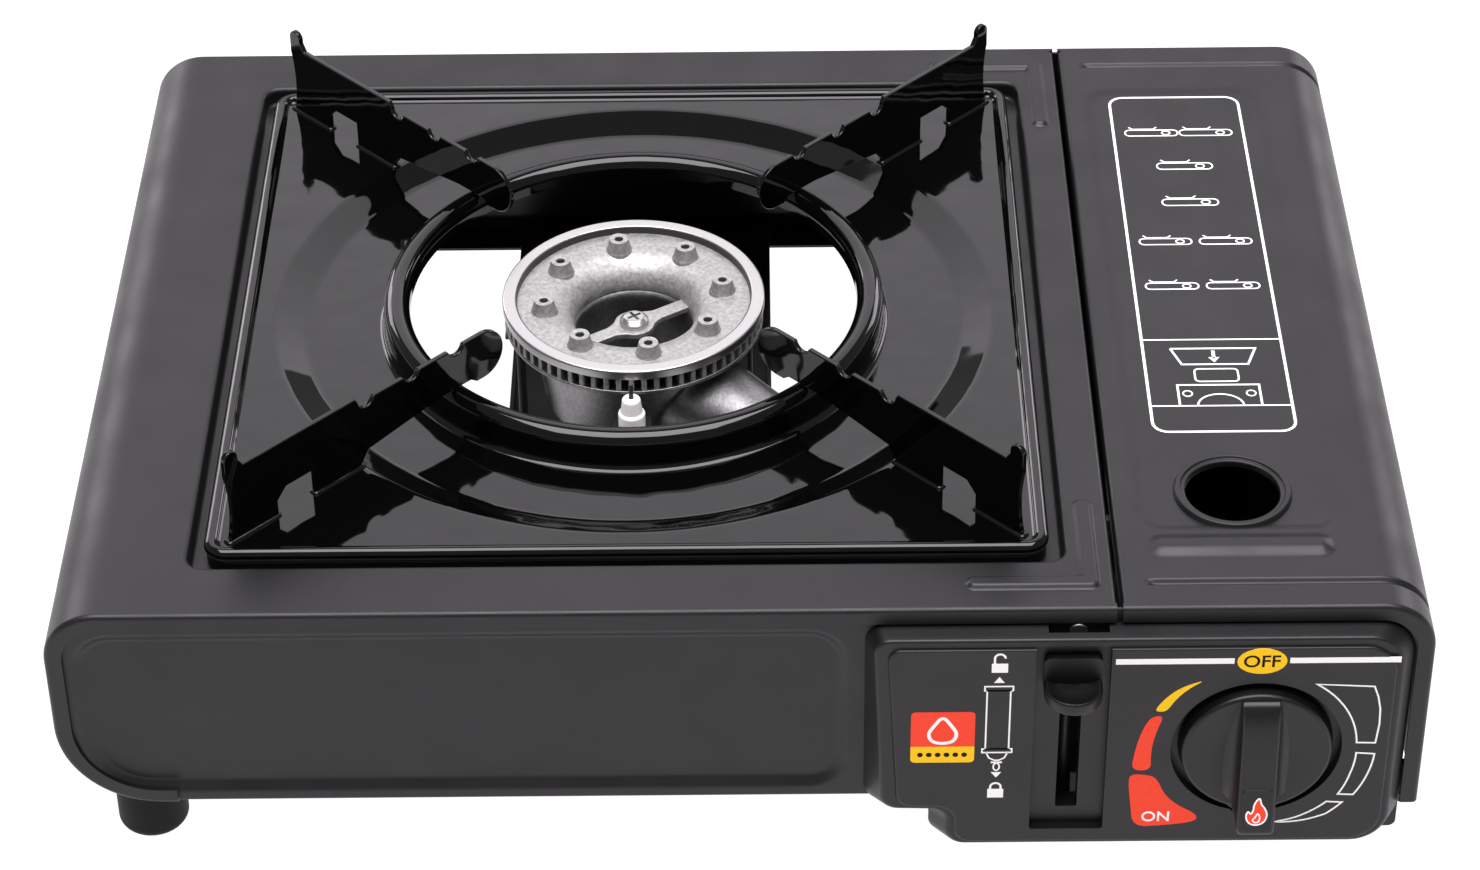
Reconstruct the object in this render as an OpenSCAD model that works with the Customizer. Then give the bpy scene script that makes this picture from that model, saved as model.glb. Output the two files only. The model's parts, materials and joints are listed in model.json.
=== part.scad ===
// Portable butane stove: a pressed sheet case with a lift-off pan support, a cast burner,
// a hinged canister lid, a turning gas knob and a sliding canister lock.
// Millimetres, +Z up, X across the front, -Y towards the user, Z = 0 on the table.

/* [Case] */
// Overall width of the case, lid included
case_w = 343; // [330:1:360]
// Depth of the case from the front lip to the rear lip
case_d = 256; // [250:1:275]
// Height of the top panel above the table
case_top = 78; // [76:1:86]
// Height of the left floor flange above the table
case_floor = 16; // [14:0.5:20]
// Outer corner radius of the wrapped sheet
case_r = 14.5; // [10:0.5:18]
// Outer corner radius where the left side turns under
case_low_r = 25; // [20:0.5:28]
// Thickness of the body sheet
sheet = 0.8; // [0.6:0.1:1.1]
// Width of the inturned front and rear lips
lip_w = 4.5; // [3.5:0.5:6]
// Width of the return flange under the left side
return_w = 29; // [28:1:40]
// Depth of the down-turned edges along the lid split
edge_h = 6; // [4:0.5:8]
// Width of the floor flanges on the front and rear panels
floor_flange = 12; // [8:1:16]
// Depth of the pressed recess in the front and rear panels
recess_depth = 2; // [1:0.25:3]
// Corner radius of the pressed recess
recess_r = 8; // [4:0.5:12]
// Height of the pressed ribs on the top and the lid
rib_h = 0.8; // [0.5:0.1:1.2]
// Width of the pressed ribs
rib_w = 4; // [3:0.5:5]

/* [Pan well] */
// Distance from the left side of the case to the opening
well_margin = 34.5; // [30:0.5:38]
// Side of the square opening in the top
well_w = 218; // [212:1:224]
// Corner radius of the opening
well_r = 4.5; // [3:0.5:6]
// Depth of the ledge below the top
ledge_drop = 5; // [4.5:0.5:7]
// Width of the ledge that carries the pan
ledge_w = 8; // [6:0.5:10]

/* [Pan support] */
// Gap between the pan and the opening
pan_gap = 3.5; // [2:0.5:5]
// Thickness of the enamelled pan sheet
pan_t = 0.8; // [0.6:0.1:1]
// Corner radius of the pan
pan_r = 6; // [5:0.5:8]
// Diameter of the rolled rim
rim_d = 3.6; // [3:0.2:4.4]
// Height of the rolled rim above the top
rim_proud = 1.5; // [1:0.1:2]
// Outer radius of the dish
dish_r = 96.5; // [92:0.5:98]
// Radius of the dish floor
dish_floor_r = 88; // [84:0.5:89]
// Depth of the dish below the flat
dish_depth = 3.4; // [2.5:0.1:3.8]
// Outer radius of the raised collar
collar_r = 67; // [64:0.5:69]
// Radius of the hole in the collar
collar_hole_r = 60; // [58:0.5:61]
// Height of the collar above the flat
collar_h = 7; // [5:0.5:9]
// Length of the turned-down lip inside the collar
collar_lip = 6; // [4:0.5:8]

/* [Pan arms] */
// Thickness of the arm plates
arm_t = 1.5; // [1.2:0.1:2]
// Height of the pot rest above the pan flat
arm_h = 21.7; // [18:0.1:24]
// Step down from the pot rest to the notched part
arm_step = 1.9; // [1:0.1:3]
// Radius of the arm notches
notch_r = 2.6; // [2:0.1:3]
// Distance from the centre to the arm tip
arm_tip = 47.5; // [45:0.5:50]
// Distance from the centre to the outer edge of the arm
arm_end = 141; // [138:0.5:142]
// Height of the outer ear above the pot rest
ear_h = 5.5; // [4:0.5:7]

/* [Burner] */
// Radius of the burner head
head_r = 35.2; // [33:0.1:36]
// Height of the burner rim above the top panel
head_proud = 4; // [2:0.5:5]
// Width of the flat rim
head_rim = 3.5; // [2.5:0.1:4]
// Depth of the face below the rim
face_drop = 2.2; // [1.5:0.1:3]
// Wall of the burner castings
cast_t = 1.8; // [1.5:0.1:2]
// Radius of the central throat
throat_r = 16; // [15:0.5:17]
// Radius of the rounded throat edge
throat_round = 8; // [7:0.5:8.5]
// Number of flame slots
slot_count = 64; // [48:4:72]
// Width of one flame slot
slot_w = 1.9; // [1.2:0.1:2]
// Height of the flame slots
slot_h = 4; // [3:0.5:4.5]
// Number of nozzle posts on the face
post_count = 8; // [6:1:10]
// Radius of the circle of posts
post_ring_r = 24.3; // [24:0.1:26]
// Top radius of one post
post_r = 2.5; // [2:0.1:3]
// Radius of the hole in one post
post_hole_r = 0.8; // [0.5:0.1:1]
// Direction of the mixing tube, measured from +X
tube_turn = -40; // [-43:0.5:-38]
// Length of the mixing tube from the burner axis
tube_len = 114; // [110:0.5:116]
// Inner radius of the mixing tube
tube_r = 7.5; // [6.5:0.1:8]
// Height of the mixing tube axis below the burner rim
tube_drop = 24; // [23:0.5:25]

/* [Canister lid] */
// Width of the lid
lid_w = 77.5; // [76:0.5:80]
// Gap between the lid and the top panel
split_gap = 1.5; // [1:0.25:2.5]
// Outer corner radius of the lid
lid_r = 14; // [10:0.5:16]
// Height of the lid wall's lower edge above the table
lid_low = 13; // [12.5:0.25:14]
// Radius of the finger hole
finger_r = 12; // [10:0.5:13]
// Distance from the front edge to the finger hole
finger_set = 46; // [42:1:50]
// Distance from the end edges of the lid to its pressed grooves
groove_set = 9; // [8:0.5:12]
// Width of the pressed grooves
groove_w = 2.4; // [1.6:0.2:3]
// Depth of the pressed grooves
groove_depth = 0.5; // [0.3:0.1:0.7]
// Radius of the hinge pins
pin_r = 1.2; // [1:0.05:1.3]

/* [Canister bay] */
// Diameter of the gas canister
canister_d = 68; // [66:0.5:68.5]
// Height of the bay floor above the table
bay_floor = 4; // [3:0.5:5]
// Left edge of the bay tray, measured from the right side
tray_w = 121.5; // [118:0.5:124]
// Corner radius of the bay tray
tray_r = 8; // [5:0.5:10]
// Distance from the right side to the canister's axis
can_set = 40; // [39:0.5:42]
// Radius of the bore that takes the canister stem
socket_bore_r = 2.1; // [1.8:0.05:2.4]
// Length of the canister socket
socket_len = 8; // [7:0.5:9]

/* [Control panel] */
// How far the control panel stands proud of the front
panel_proud = 6; // [5:0.5:8]
// Thickness of the control panel
panel_t = 1; // [0.8:0.1:1.2]
// Draft of the panel's side walls
panel_draft = 5; // [3:0.5:6]
// Width of the control panel at its base
panel_w = 135.7; // [132:0.1:138]
// Width of the lever recess
lever_bay_w = 18.5; // [17:0.5:20]
// Depth of the lever recess
lever_bay_depth = 2.5; // [1.5:0.25:3]
// Distance from the right side to the lever
lever_set = 89.5; // [88.5:0.25:90.5]
// Distance from the right side to the knob axis
knob_set = 43.1; // [42:0.1:44]
// Height of the knob axis above the table
knob_z = 37.4; // [36:0.2:39]

/* [Knob and lever] */
// Radius of the knob
knob_r = 19.3; // [17:0.1:20]
// Gap round the knob in its recess
knob_gap = 2; // [1:0.25:2.5]
// Depth of the knob recess
knob_bay_depth = 3; // [2:0.25:4]
// How far the knob stands proud of the panel
knob_proud = 10.6; // [9:0.1:14]
// Width of the knob's grip bar
grip_w = 10; // [8:0.5:12]
// Radius of the valve spindle
spindle_r = 4; // [3:0.1:4.2]
// Width of the lever's thumb tongue
tongue_w = 14.4; // [13:0.1:15]
// Length of the thumb tongue
tongue_l = 11.5; // [9:0.5:12]
// Thickness of the thumb tongue
tongue_t = 3.6; // [3:0.1:4.5]
// Height of the lever's axis above the table with the canister released
lever_z = 58; // [57:0.25:59]
// Travel of the lever
lever_travel = 36; // [32:0.5:37]
// Travel of the canister carrier
carrier_travel = 8; // [6:0.25:8.5]

/* [Feet] */
// Radius of the rubber feet
foot_r = 9; // [6:0.5:9]
// Distance from the front and rear edges to the feet
foot_inset = 12.5; // [10:0.5:14]
// Distance from the left side to the feet
foot_side = 20; // [20:0.5:26]
// Distance from the right side to the feet under the tray
tray_foot_side = 24; // [20:0.5:26]

/* [Hidden] */
$fn = 64;

// Clearances
fit = 0.3;
run_fit = 0.06;
slot_fit = 0.25;
bite = 0.5;
over = 1;

// Case frame: the whole depth, knob included, is centred on Y = 0
left_x = -case_w / 2;
right_x = case_w / 2;
overall_d = case_d + panel_proud + knob_proud;
back_y = overall_d / 2;
front_y = back_y - case_d;
mid_y = (front_y + back_y) / 2;
lid_x = right_x - lid_w;
top_end = lid_x - split_gap;
well_x = left_x + well_margin + well_w / 2;
ledge_z = case_top - ledge_drop;
tray_x = right_x - tray_w;
tray_top = bay_floor + sheet;
tray_gap = 3.5;
carrier_set = 2;
arm_x = lid_x - carrier_set;

// Corner ribs of the top
rib_side = 4;
rib_end = 8;
rib_long = 34;
rib_short = 32;

// Front and rear panels sit just inside the lips
panel_front = front_y + sheet + fit;
panel_back = panel_front + sheet;
rear_out = back_y - sheet - fit;
rear_in = rear_out - sheet;
panel_right = right_x - lip_w - fit;
panel_top = case_top - sheet - fit;
recess_side = 2;
recess_foot = 3.5;
recess_head = 7;
recess_left = left_x + lip_w + recess_side;
recess_right = panel_right - panel_w - lip_w;
recess_low = case_floor + recess_foot;
recess_high = case_top - recess_head;
recess_low_r = case_low_r - lip_w - recess_foot;

// Control panel
face_y = front_y - panel_proud;
base_left = panel_right - panel_w;
base_top = case_top - lip_w - 2 * fit;
panel_low = bay_floor - fit;
step_drop = 1;
step_set = 2.5;
step_lap = 20;
step_low = case_floor - step_drop;
step_x = tray_x + step_set;
panel_r = lid_r - lip_w + fit;
knob_x = right_x - knob_set;
lever_x = right_x - lever_set;
lever_floor = face_y + lever_bay_depth;
lever_bay_low = 10.5;
lever_bay_drop = 3;
lever_bay_high = case_top - lip_w - lever_bay_drop;
slot_half = 2.7;
lever_low = lever_z - lever_travel;
knob_floor = face_y + knob_bay_depth;
screw_side = 1.3;
screw_x = lever_x + screw_side;
screw_r = 1.5;
screw_head_r = 2.2;
screw_head_t = 1.4;
screw_z = case_top - lip_w - screw_head_r - fit;
notch_half = 7.5;

// Pan and arms
pan_half = well_w / 2 - pan_gap;
pan_sink = 0.2;
pan_flat = case_top - pan_sink;
rim_z = case_top + rim_proud - rim_d / 2;
skirt_in = 0.4;
collar_top = pan_flat + collar_h;
collar_mid = (collar_r + collar_hole_r) / 2;
collar_round = (collar_r - collar_hole_r) / 2;
collar_bend = collar_top - collar_round;
dish_z = pan_flat - dish_depth;
arm_foot = pan_flat;
rest_z = pan_flat + arm_h;
step_z = rest_z - arm_step;
ear_r = 2.2;
tip_r = 7;
arm_low = collar_top + fit;
arm_drop = 1.5;
arm_leg = 16.5;
window_w = 12;
window_h = 7.7;
window_bevel = 3;
notch_count = 3;
notch_set = 47;
notch_land = 0.8;
tip_land = 0.6;
ear_in = 1.2;
ear_foot = 7;
arm_waist = 2.2;
arm_waist_r = 40;
notch_out = arm_end - notch_set;
arm_pitch = (notch_out - arm_tip - tip_land) / notch_count;
tab_in = dish_r + over;
window_out = arm_end - arm_leg;
tab_out = window_out - window_w;
window_top = pan_flat + window_h;
arm_step_t = notch_out + notch_r + notch_land;

// Burner
head_z = case_top + head_proud;
face_z = head_z - face_drop;
slot_roof = 1;
skirt_z = head_z - cast_t - slot_h - slot_roof;
tooth_in = 0.6;
flange_in = 0.4;
flange_t = 1.2;
bowl_z = skirt_z - flange_t;
bowl_h = 28;
bowl_low = bowl_z - bowl_h;
bowl_top_r = 28;
bowl_low_r = 24;
throat_low = face_z - throat_round;
throat_wall = 2;
tube_z = head_z - tube_drop;
tube_wall = 1.5;
tube_flare = 4;
tube_out_r = tube_r + tube_wall;
tube_mouth_r = tube_r + tube_flare;
tube_start = throat_r + throat_wall + tube_wall;
tube_cone = 44;
jet_len = 9;
jet_nose = 6;
bar_w = 4.2;
bar_turn = 33;
hub_r = 5.5;
hub_floor = 4;
burner_screw_r = 2;
burner_head_r = 3.9;
burner_head_top_r = 3.2;
burner_head_t = 2;
post_proud = 0.3;
post_flare = 0.9;
post_h = face_drop + post_proud;
post_turn = 10.5;
strip_half = 37;
strip_t = 1.2;
strip_z = case_floor + sheet;
leg_set = 4.7;
leg_x = head_r - leg_set;
leg_half = 8;
leg_ear = 4;
strip_edge = 8;
jet_r = 4;
jet_plate = 2;
air_hole_r = 1.3;
air_ring_r = 5.9;

// Igniter
spark_gap = 3.4;
ceramic_y = -(head_r + spark_gap);
ceramic_r = 3.6;
ceramic_neck = 0.8;
ceramic_drop = 15.5;
ceramic_h = 5;
ceramic_tip = 4.6;
ceramic_tail = 9;
electrode_tail = 12;
electrode_drop = 1.5;
ceramic_ear_z = head_z - ceramic_drop;
electrode_r = 0.6;
igniter_t = 1;
igniter_back = 8;
igniter_half = 5;
igniter_foot = 10;

// Canister gear, measured back from the front edge
can_x = right_x - can_set;
can_z = tray_top + canister_d / 2 + fit;
reg_set = 9.2;
reg_d = 29;
reg_half = 19;
reg_down = 23.1;
reg_up = 18.9;
reg_r = 4;
reg_lug_half = 8;
reg_flange_t = 3;
reg_y0 = front_y + reg_set;
reg_y1 = reg_y0 + reg_d;
reg_z0 = can_z - reg_down;
reg_z1 = can_z + reg_up;
port_r = 1;
port_len = 8;
spindle_len = 14;
rod_half = 26;
rod_edge = 5;
rod_r = 2;
rod_head = 1.5;
rod_run = 21;
rod_end = reg_y1 + rod_run;
socket_end = reg_y1 + socket_len;
socket_r = 8;
socket_step = 2;
seal_w = 2.2;
seal_t = 1;
carrier_t = 2;
carrier_y = socket_end + carrier_travel;
arm_plate = 1.6;
fork_half = 12;
fork_up = 23;
fork_down = 16;
fork_top = can_z + fork_up;
fork_low = can_z - fork_down;
reg_bracket_t = 1.2;
cover_r = 11.5;
cover_t = 5;
cover_edge = 0.7;
cover_plate = 2;
cover_y = reg_y0 + cover_r + cover_edge;
cover_screw_r = 1.1;
cover_head_r = 2;
cover_dome_r = cover_r - 2 * (cover_head_r + cover_edge);
reg_bracket_drop = 6;
piezo_t = 11;
piezo_d = 18;
piezo_edge = 4;
piezo_drop = 10;
piezo_r = 2;
piezo_tail = 12;
wall_set = 5;
wall_foot = 10;
wall_gap = 4;
pipe_r = 3;
pipe_set = 9;
pipe_run = 10;
pipe_y = reg_y1 - reg_r;
pipe_z = reg_z0 + 2 * reg_r;

// Lever slide
rod_set = 9;
pin_set = 17;
slider_gap = 1.5;
slider_wall = 3;
rod_y0 = front_y + rod_set;
pin_y = front_y + pin_set;
slider_front = panel_back + slider_gap;
slider_back = pin_y + slider_wall;
slider_half = 5;
slider_h = 14;
lever_pin_r = 1.5;
stem_half = slot_half - slot_fit;
stem_h = 6;
tongue_up = 2;
backing_t = 2;
backing_h = 9;
guide_t = 1.2;
guide_low = 9.5;
guide_drop = 10;
guide_high = case_top - guide_drop;
guide_half = 6;
guide_gap = 1.3;
guide_foot = 9;
pin_grip = 6;
pin_end = 1.5;
slot_edge = 3;
fork_lug = 8;

// Feet
foot_round = 3;
foot_seat_r = 3.5;
foot_screw_end = 2;
foot_reach = max(case_low_r - foot_side + foot_r, 0);
foot_rise = case_low_r * (1 - cos(asin(foot_reach / case_low_r)));

// Pressings of the lid
groove_start = 7.5;
finger_side = 31;
ring_w = 3;
bar_half = 22;
bar_set = 19;
bar_d = 6;
bar_r = 2.5;

// Hinge of the lid
hinge_set = 3;
hinge_up = 0.5;
hinge_leg = 8;
hinge_x = right_x - hinge_set;
hinge_z = lid_low + hinge_up;
boss_r = 2.1;
lid_ear_h = 10;
pin_over = 0.5;
ear_t = 2;
ear_gap = 1;
bracket_t = 3;

module slab_x(x0, x1) {
  translate([x0, 0, 0]) rotate([90, 0, 90]) linear_extrude(x1 - x0) children();
}

module slab_y(y0, y1) {
  translate([0, y1, 0]) rotate([90, 0, 0]) linear_extrude(y1 - y0) children();
}

module slab_z(z0, z1) {
  translate([0, 0, z0]) linear_extrude(z1 - z0) children();
}

module rect(u0, v0, u1, v1) {
  translate([u0, v0]) square([u1 - u0, v1 - v0]);
}

module round_rect(u0, v0, u1, v1, r) {
  rect(u0 + r, v0, u1 - r, v1);
  rect(u0, v0 + r, u1, v1 - r);
  for (u = [u0 + r, u1 - r], v = [v0 + r, v1 - r]) translate([u, v]) circle(r);
}

// Rounded rectangle whose lower left corner has a radius of its own
module corner_rect(u0, v0, u1, v1, r, low_r) {
  rect(u0 + low_r, v0, u1 - r, v1 - r);
  rect(u0 + r, v0 + low_r, u1 - r, v1);
  rect(u0, v0 + low_r, u1 - r, v1 - r);
  rect(u0 + low_r, v0 + r, u1, v1 - r);
  spot(u0 + low_r, v0 + low_r, low_r);
  spot(u1 - r, v0 + r, r);
  for (u = [u0 + r, u1 - r]) spot(u, v1 - r, r);
}

module spot(u, v, r) {
  translate([u, v]) circle(r);
}

// Round bar along Y
module rod_along_y(x, z, y0, y1, r) {
  translate([x, y0, z]) rotate([-90, 0, 0]) cylinder(r = r, h = y1 - y0);
}

// Round bar along X
module rod_along_x(y, z, x0, x1, r) {
  translate([x0, y, z]) rotate([0, 90, 0]) cylinder(r = r, h = x1 - x0);
}

// Round bar between two points
module rod_between(a, b, r) {
  d = b - a;
  flat = norm([d.x, d.y]);
  translate(a) rotate([0, atan2(flat, d.z), atan2(d.y, d.x)]) cylinder(r = r, h = norm(d));
}

// Case section seen from the front, moved in by an inset
module case_section(inset) {
  corner_rect(left_x + inset, case_floor + inset, top_end + 2 * case_r, case_top - inset, case_r - inset,
    case_low_r - inset);
}

// Wrapped strip of the case: top, left side and the return flange below
module case_band(depth) {
  difference() {
    intersection() {
      case_section(0);
      rect(left_x, case_floor, top_end, case_top);
    }
    case_section(depth);
    rect(left_x + return_w, case_floor - bite, top_end + bite, case_floor + case_r);
  }
}

module well_square(grow) {
  half = well_w / 2 + grow;
  round_rect(well_x - half, mid_y - half, well_x + half, mid_y + half, max(well_r + grow, 1));
}

module foot_places() {
  for (x = [left_x + foot_side, right_x - tray_foot_side], y = [front_y + foot_inset, back_y - foot_inset])
    translate([x, y, 0]) children();
}

// L-shaped rib on the top panel beside the lid split
module corner_rib(end_y, inward) {
  edge = top_end - rib_side;
  out_y = end_y + inward * rib_end;
  long_y = end_y + inward * (rib_end + rib_long);
  short_x = edge - rib_short;
  slab_z(case_top - bite, case_top + rib_h) {
    round_rect(edge - rib_w, min(out_y, long_y), edge, max(out_y, long_y), rib_w / 2 - run_fit);
    round_rect(short_x, min(out_y, out_y + inward * rib_w), edge, max(out_y, out_y + inward * rib_w),
      rib_w / 2 - run_fit);
  }
}

module body_shell() {
  color("#2b2b2d") difference() {
    union() {
      slab_y(front_y, back_y) case_band(sheet);
      slab_y(front_y, front_y + sheet) case_band(lip_w);
      slab_y(back_y - sheet, back_y) case_band(lip_w);
      slab_x(top_end - sheet, top_end)
        rect(panel_back + fit, case_top - edge_h, rear_in - fit, case_top - sheet / 2);
      slab_z(ledge_z - sheet, case_top - sheet / 2) well_square(sheet);
      corner_rib(front_y, 1);
      corner_rib(back_y, -1);
    }
    slab_z(ledge_z, case_top + over) well_square(0);
    slab_z(ledge_z - 2 * sheet, case_top) well_square(-ledge_w);
    foot_places() cylinder(r = screw_r + slot_fit, h = case_floor + foot_rise + 2 * sheet);
  }
}

// Outline shared by the front and rear panels
module end_outline() {
  intersection() {
    case_section(sheet + fit);
    rect(left_x, case_floor, top_end, panel_top);
  }
  round_rect(tray_x, bay_floor, panel_right, panel_top, lid_r - lip_w / 2);
  rect(tray_x, bay_floor, panel_right - lid_r, panel_top);
  rect(tray_x, bay_floor, panel_right, case_top / 2);
}

module recess_outline(grow) {
  corner_rect(recess_left - grow, recess_low - grow, recess_right + grow, recess_high + grow, recess_r + grow,
    recess_low_r + grow);
}

// Flat end panel with its pressed recess; out is the outer face, inward the sense along Y
module end_panel(out, inward) {
  deep = out + inward * recess_depth;
  skin = inward * sheet;
  difference() {
    union() {
      slab_y(min(out, out + skin), max(out, out + skin)) end_outline();
      slab_y(min(out, deep + skin), max(out, deep + skin)) recess_outline(sheet);
    }
    slab_y(min(out - inward, deep), max(out - inward, deep)) recess_outline(0);
  }
  edge = out + inward * floor_flange;
  slab_z(case_floor, case_floor + sheet)
    rect(left_x + return_w + fit, min(out, edge), tray_x - fit, max(out, edge));
  slab_y(min(out, out + skin), max(out, out + skin))
    rect(left_x + return_w + fit, case_floor, tray_x + bite, case_floor + 2 * sheet);
}

module front_panel() {
  color("#303032") difference() {
    end_panel(panel_front, 1);
    slab_y(panel_front - over, panel_back + over) {
      rect(lever_x - 2 * slot_half, lever_low - stem_h, lever_x + 2 * slot_half, lever_z + stem_h);
      spot(knob_x, knob_z, knob_r + knob_gap + panel_t + over);
      spot(screw_x, screw_z, screw_r + slot_fit);
    }
  }
}

module rear_panel() {
  color("#303032") end_panel(rear_out, -1);
}

module partition_wall() {
  x = lid_x - wall_set;
  color("#3a3a3c") {
    slab_x(x, x + sheet) rect(rod_end + wall_gap, tray_top, rear_in, case_top - sheet);
    slab_z(tray_top, tray_top + sheet) rect(x - wall_foot, rod_end + wall_gap, x + sheet, rear_in);
  }
}

// Tray that closes the bay underneath
module bay_tray() {
  side_high = lid_low - tray_gap;
  color("#2b2b2d") difference() {
    slab_y(panel_back, rear_in) difference() {
      intersection() {
        round_rect(tray_x, bay_floor, panel_right, bay_floor + 4 * tray_r, tray_r);
        union() {
          rect(tray_x, bay_floor, right_x - tray_w / 2, case_floor);
          rect(right_x - tray_w / 2, bay_floor, panel_right, side_high);
        }
      }
      round_rect(tray_x + sheet, tray_top, panel_right - sheet, bay_floor + 5 * tray_r, tray_r - sheet);
    }
    foot_places() cylinder(r = screw_r + slot_fit, h = tray_top + over);
  }
}

// One drafted block of the control panel, shrunk by an inset
module panel_block(x0, z0, x1, z1, r, draft_left, inset) {
  back = inset > 0 ? panel_front + bite : panel_front;
  front = face_y + inset;
  hull() {
    slab_y(back - panel_t, back)
      round_rect(x0 + inset, z0 + inset, x1 - inset, z1 - inset, r, $fn = 32);
    slab_y(front, front + panel_t / 2)
      round_rect(x0 + inset + draft_left, z0 + inset + panel_draft / 2, x1 - inset - panel_draft * 0.8,
        z1 - inset - fit, r - over, $fn = 32);
  }
}

module panel_form(inset) {
  panel_block(base_left, step_low, step_x + step_lap, base_top, panel_r / 2, panel_draft, inset);
  panel_block(step_x - panel_r / 2, panel_low, panel_right, base_top, panel_r, panel_draft * 0.8, inset);
}

module control_panel() {
  bay_left = lever_x - lever_bay_w / 2;
  bay_right = lever_x + lever_bay_w / 2;
  color("#29292b") difference() {
    union() {
      difference() {
        panel_form(0);
        panel_form(panel_t);
      }
      slab_y(face_y + panel_t / 2, lever_floor + panel_t)
        rect(bay_left - panel_t, lever_bay_low - panel_t, bay_right + panel_t, lever_bay_high + panel_t);
      slab_y(face_y + panel_t / 2, knob_floor + panel_t)
        spot(knob_x, knob_z, knob_r + knob_gap + panel_t);
    }
    slab_y(face_y - over, lever_floor) rect(bay_left, lever_bay_low, bay_right, lever_bay_high);
    slab_y(lever_floor - over, lever_floor + 2 * panel_t)
      rect(lever_x - slot_half, lever_low - stem_h, lever_x + slot_half, lever_z + stem_h);
    slab_y(face_y - over, knob_floor) spot(knob_x, knob_z, knob_r + knob_gap);
    slab_y(knob_floor - over, knob_floor + 2 * panel_t) spot(knob_x, knob_z, spindle_r + knob_gap);
    slab_y(lever_floor + panel_t, panel_front + over)
      rect(screw_x - notch_half, screw_z - screw_head_r - fit, screw_x + notch_half, base_top + over);
  }
}

module panel_screw() {
  color("silver") {
    rod_along_y(screw_x, screw_z, panel_front - screw_head_t, panel_front, screw_head_r);
    rod_along_y(screw_x, screw_z, panel_front, panel_back + over, screw_r);
  }
}

// Strip across the floor with two upright legs for the burner
module burner_bracket() {
  color("#37373a") translate([well_x, mid_y, 0]) {
    slab_z(strip_z, strip_z + strip_t)
      rect(-strip_half, panel_back + recess_depth + over - mid_y, strip_half, rear_in - recess_depth - over - mid_y);
    for (s = [-1, 1]) {
      slab_x(min(s * strip_half, s * (strip_half - strip_t)), max(s * strip_half, s * (strip_half - strip_t)))
        rect(panel_back + floor_flange + leg_ear - mid_y, strip_z, rear_in - floor_flange - leg_ear - mid_y,
          strip_z + strip_edge);
      slab_x(min(s * leg_x, s * (leg_x + strip_t)), max(s * leg_x, s * (leg_x + strip_t)))
        rect(-leg_half, strip_z, leg_half, bowl_z);
      slab_z(bowl_z - strip_t, bowl_z)
        rect(min(s * (leg_x - over), s * (leg_x + leg_ear)), -leg_half,
          max(s * (leg_x - over), s * (leg_x + leg_ear)), leg_half);
    }
  }
}

// Place along the mixing tube axis, s from the burner axis
module along_tube(s) {
  translate([0, 0, tube_z]) rotate([0, 90, tube_turn]) translate([0, 0, s]) children();
}

module burner_body() {
  color("#a9a9a8") translate([well_x, mid_y, 0]) difference() {
    union() {
      rotate_extrude() polygon([
        [throat_r - bite, bowl_low], [bowl_low_r, bowl_low], [bowl_top_r, bowl_z],
        [head_r - flange_in, bowl_z], [head_r - flange_in, skirt_z], [throat_r - bite, skirt_z]
      ]);
      along_tube(tube_start) cylinder(r1 = tube_mouth_r + cast_t, r2 = tube_out_r, h = tube_cone);
      along_tube(tube_start + tube_cone - bite)
        cylinder(r = tube_out_r, h = tube_len - tube_start - tube_cone + bite);
    }
    rotate_extrude() polygon([
      [throat_r + throat_wall, bowl_low + cast_t], [bowl_low_r - cast_t, bowl_low + cast_t],
      [bowl_top_r - cast_t, bowl_z], [bowl_top_r - cast_t, skirt_z + over], [throat_r + throat_wall, skirt_z + over]
    ]);
    translate([0, 0, throat_low]) cylinder(r = throat_r + throat_wall + bite, h = skirt_z);
    along_tube(tube_start) cylinder(r1 = tube_mouth_r, r2 = tube_r, h = tube_cone);
    along_tube(tube_start + tube_cone - bite)
      cylinder(r = tube_r, h = tube_len - jet_plate - tube_start - tube_cone + bite);
    along_tube(tube_len - 2 * jet_plate) {
      cylinder(r = jet_r + run_fit, h = 3 * jet_plate);
      for (k = [0 : 5]) rotate(60 * k) translate([air_ring_r, 0, 0]) cylinder(r = air_hole_r, h = 3 * jet_plate);
    }
  }
  // Hub below the throat that takes the cap's screw
  color("#a9a9a8") translate([well_x, mid_y, 0]) difference() {
    union() {
      translate([0, 0, bowl_low]) cylinder(r = hub_r, h = throat_low - bowl_low);
      rotate(bar_turn) slab_z(bowl_low, bowl_low + hub_floor) rect(-throat_r, -bar_w / 2, throat_r, bar_w / 2);
    }
    translate([0, 0, bowl_low - over]) cylinder(r = burner_screw_r + run_fit, h = skirt_z);
  }
}

// Teeth that stand between the flame slots
module flame_teeth() {
  slab_z(skirt_z, skirt_z + slot_h + bite) difference() {
    circle(head_r - tooth_in);
    circle(head_r - head_rim);
    for (k = [0 : slot_count - 1]) rotate(360 / slot_count * (k + 0.5))
      rect(head_r - head_rim - over, -slot_w / 2, head_r + over, slot_w / 2);
  }
}

module post_places() {
  for (k = [0 : post_count - 1]) rotate(post_turn + 360 / post_count * k)
    translate([post_ring_r, 0, face_z]) children();
}

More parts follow.
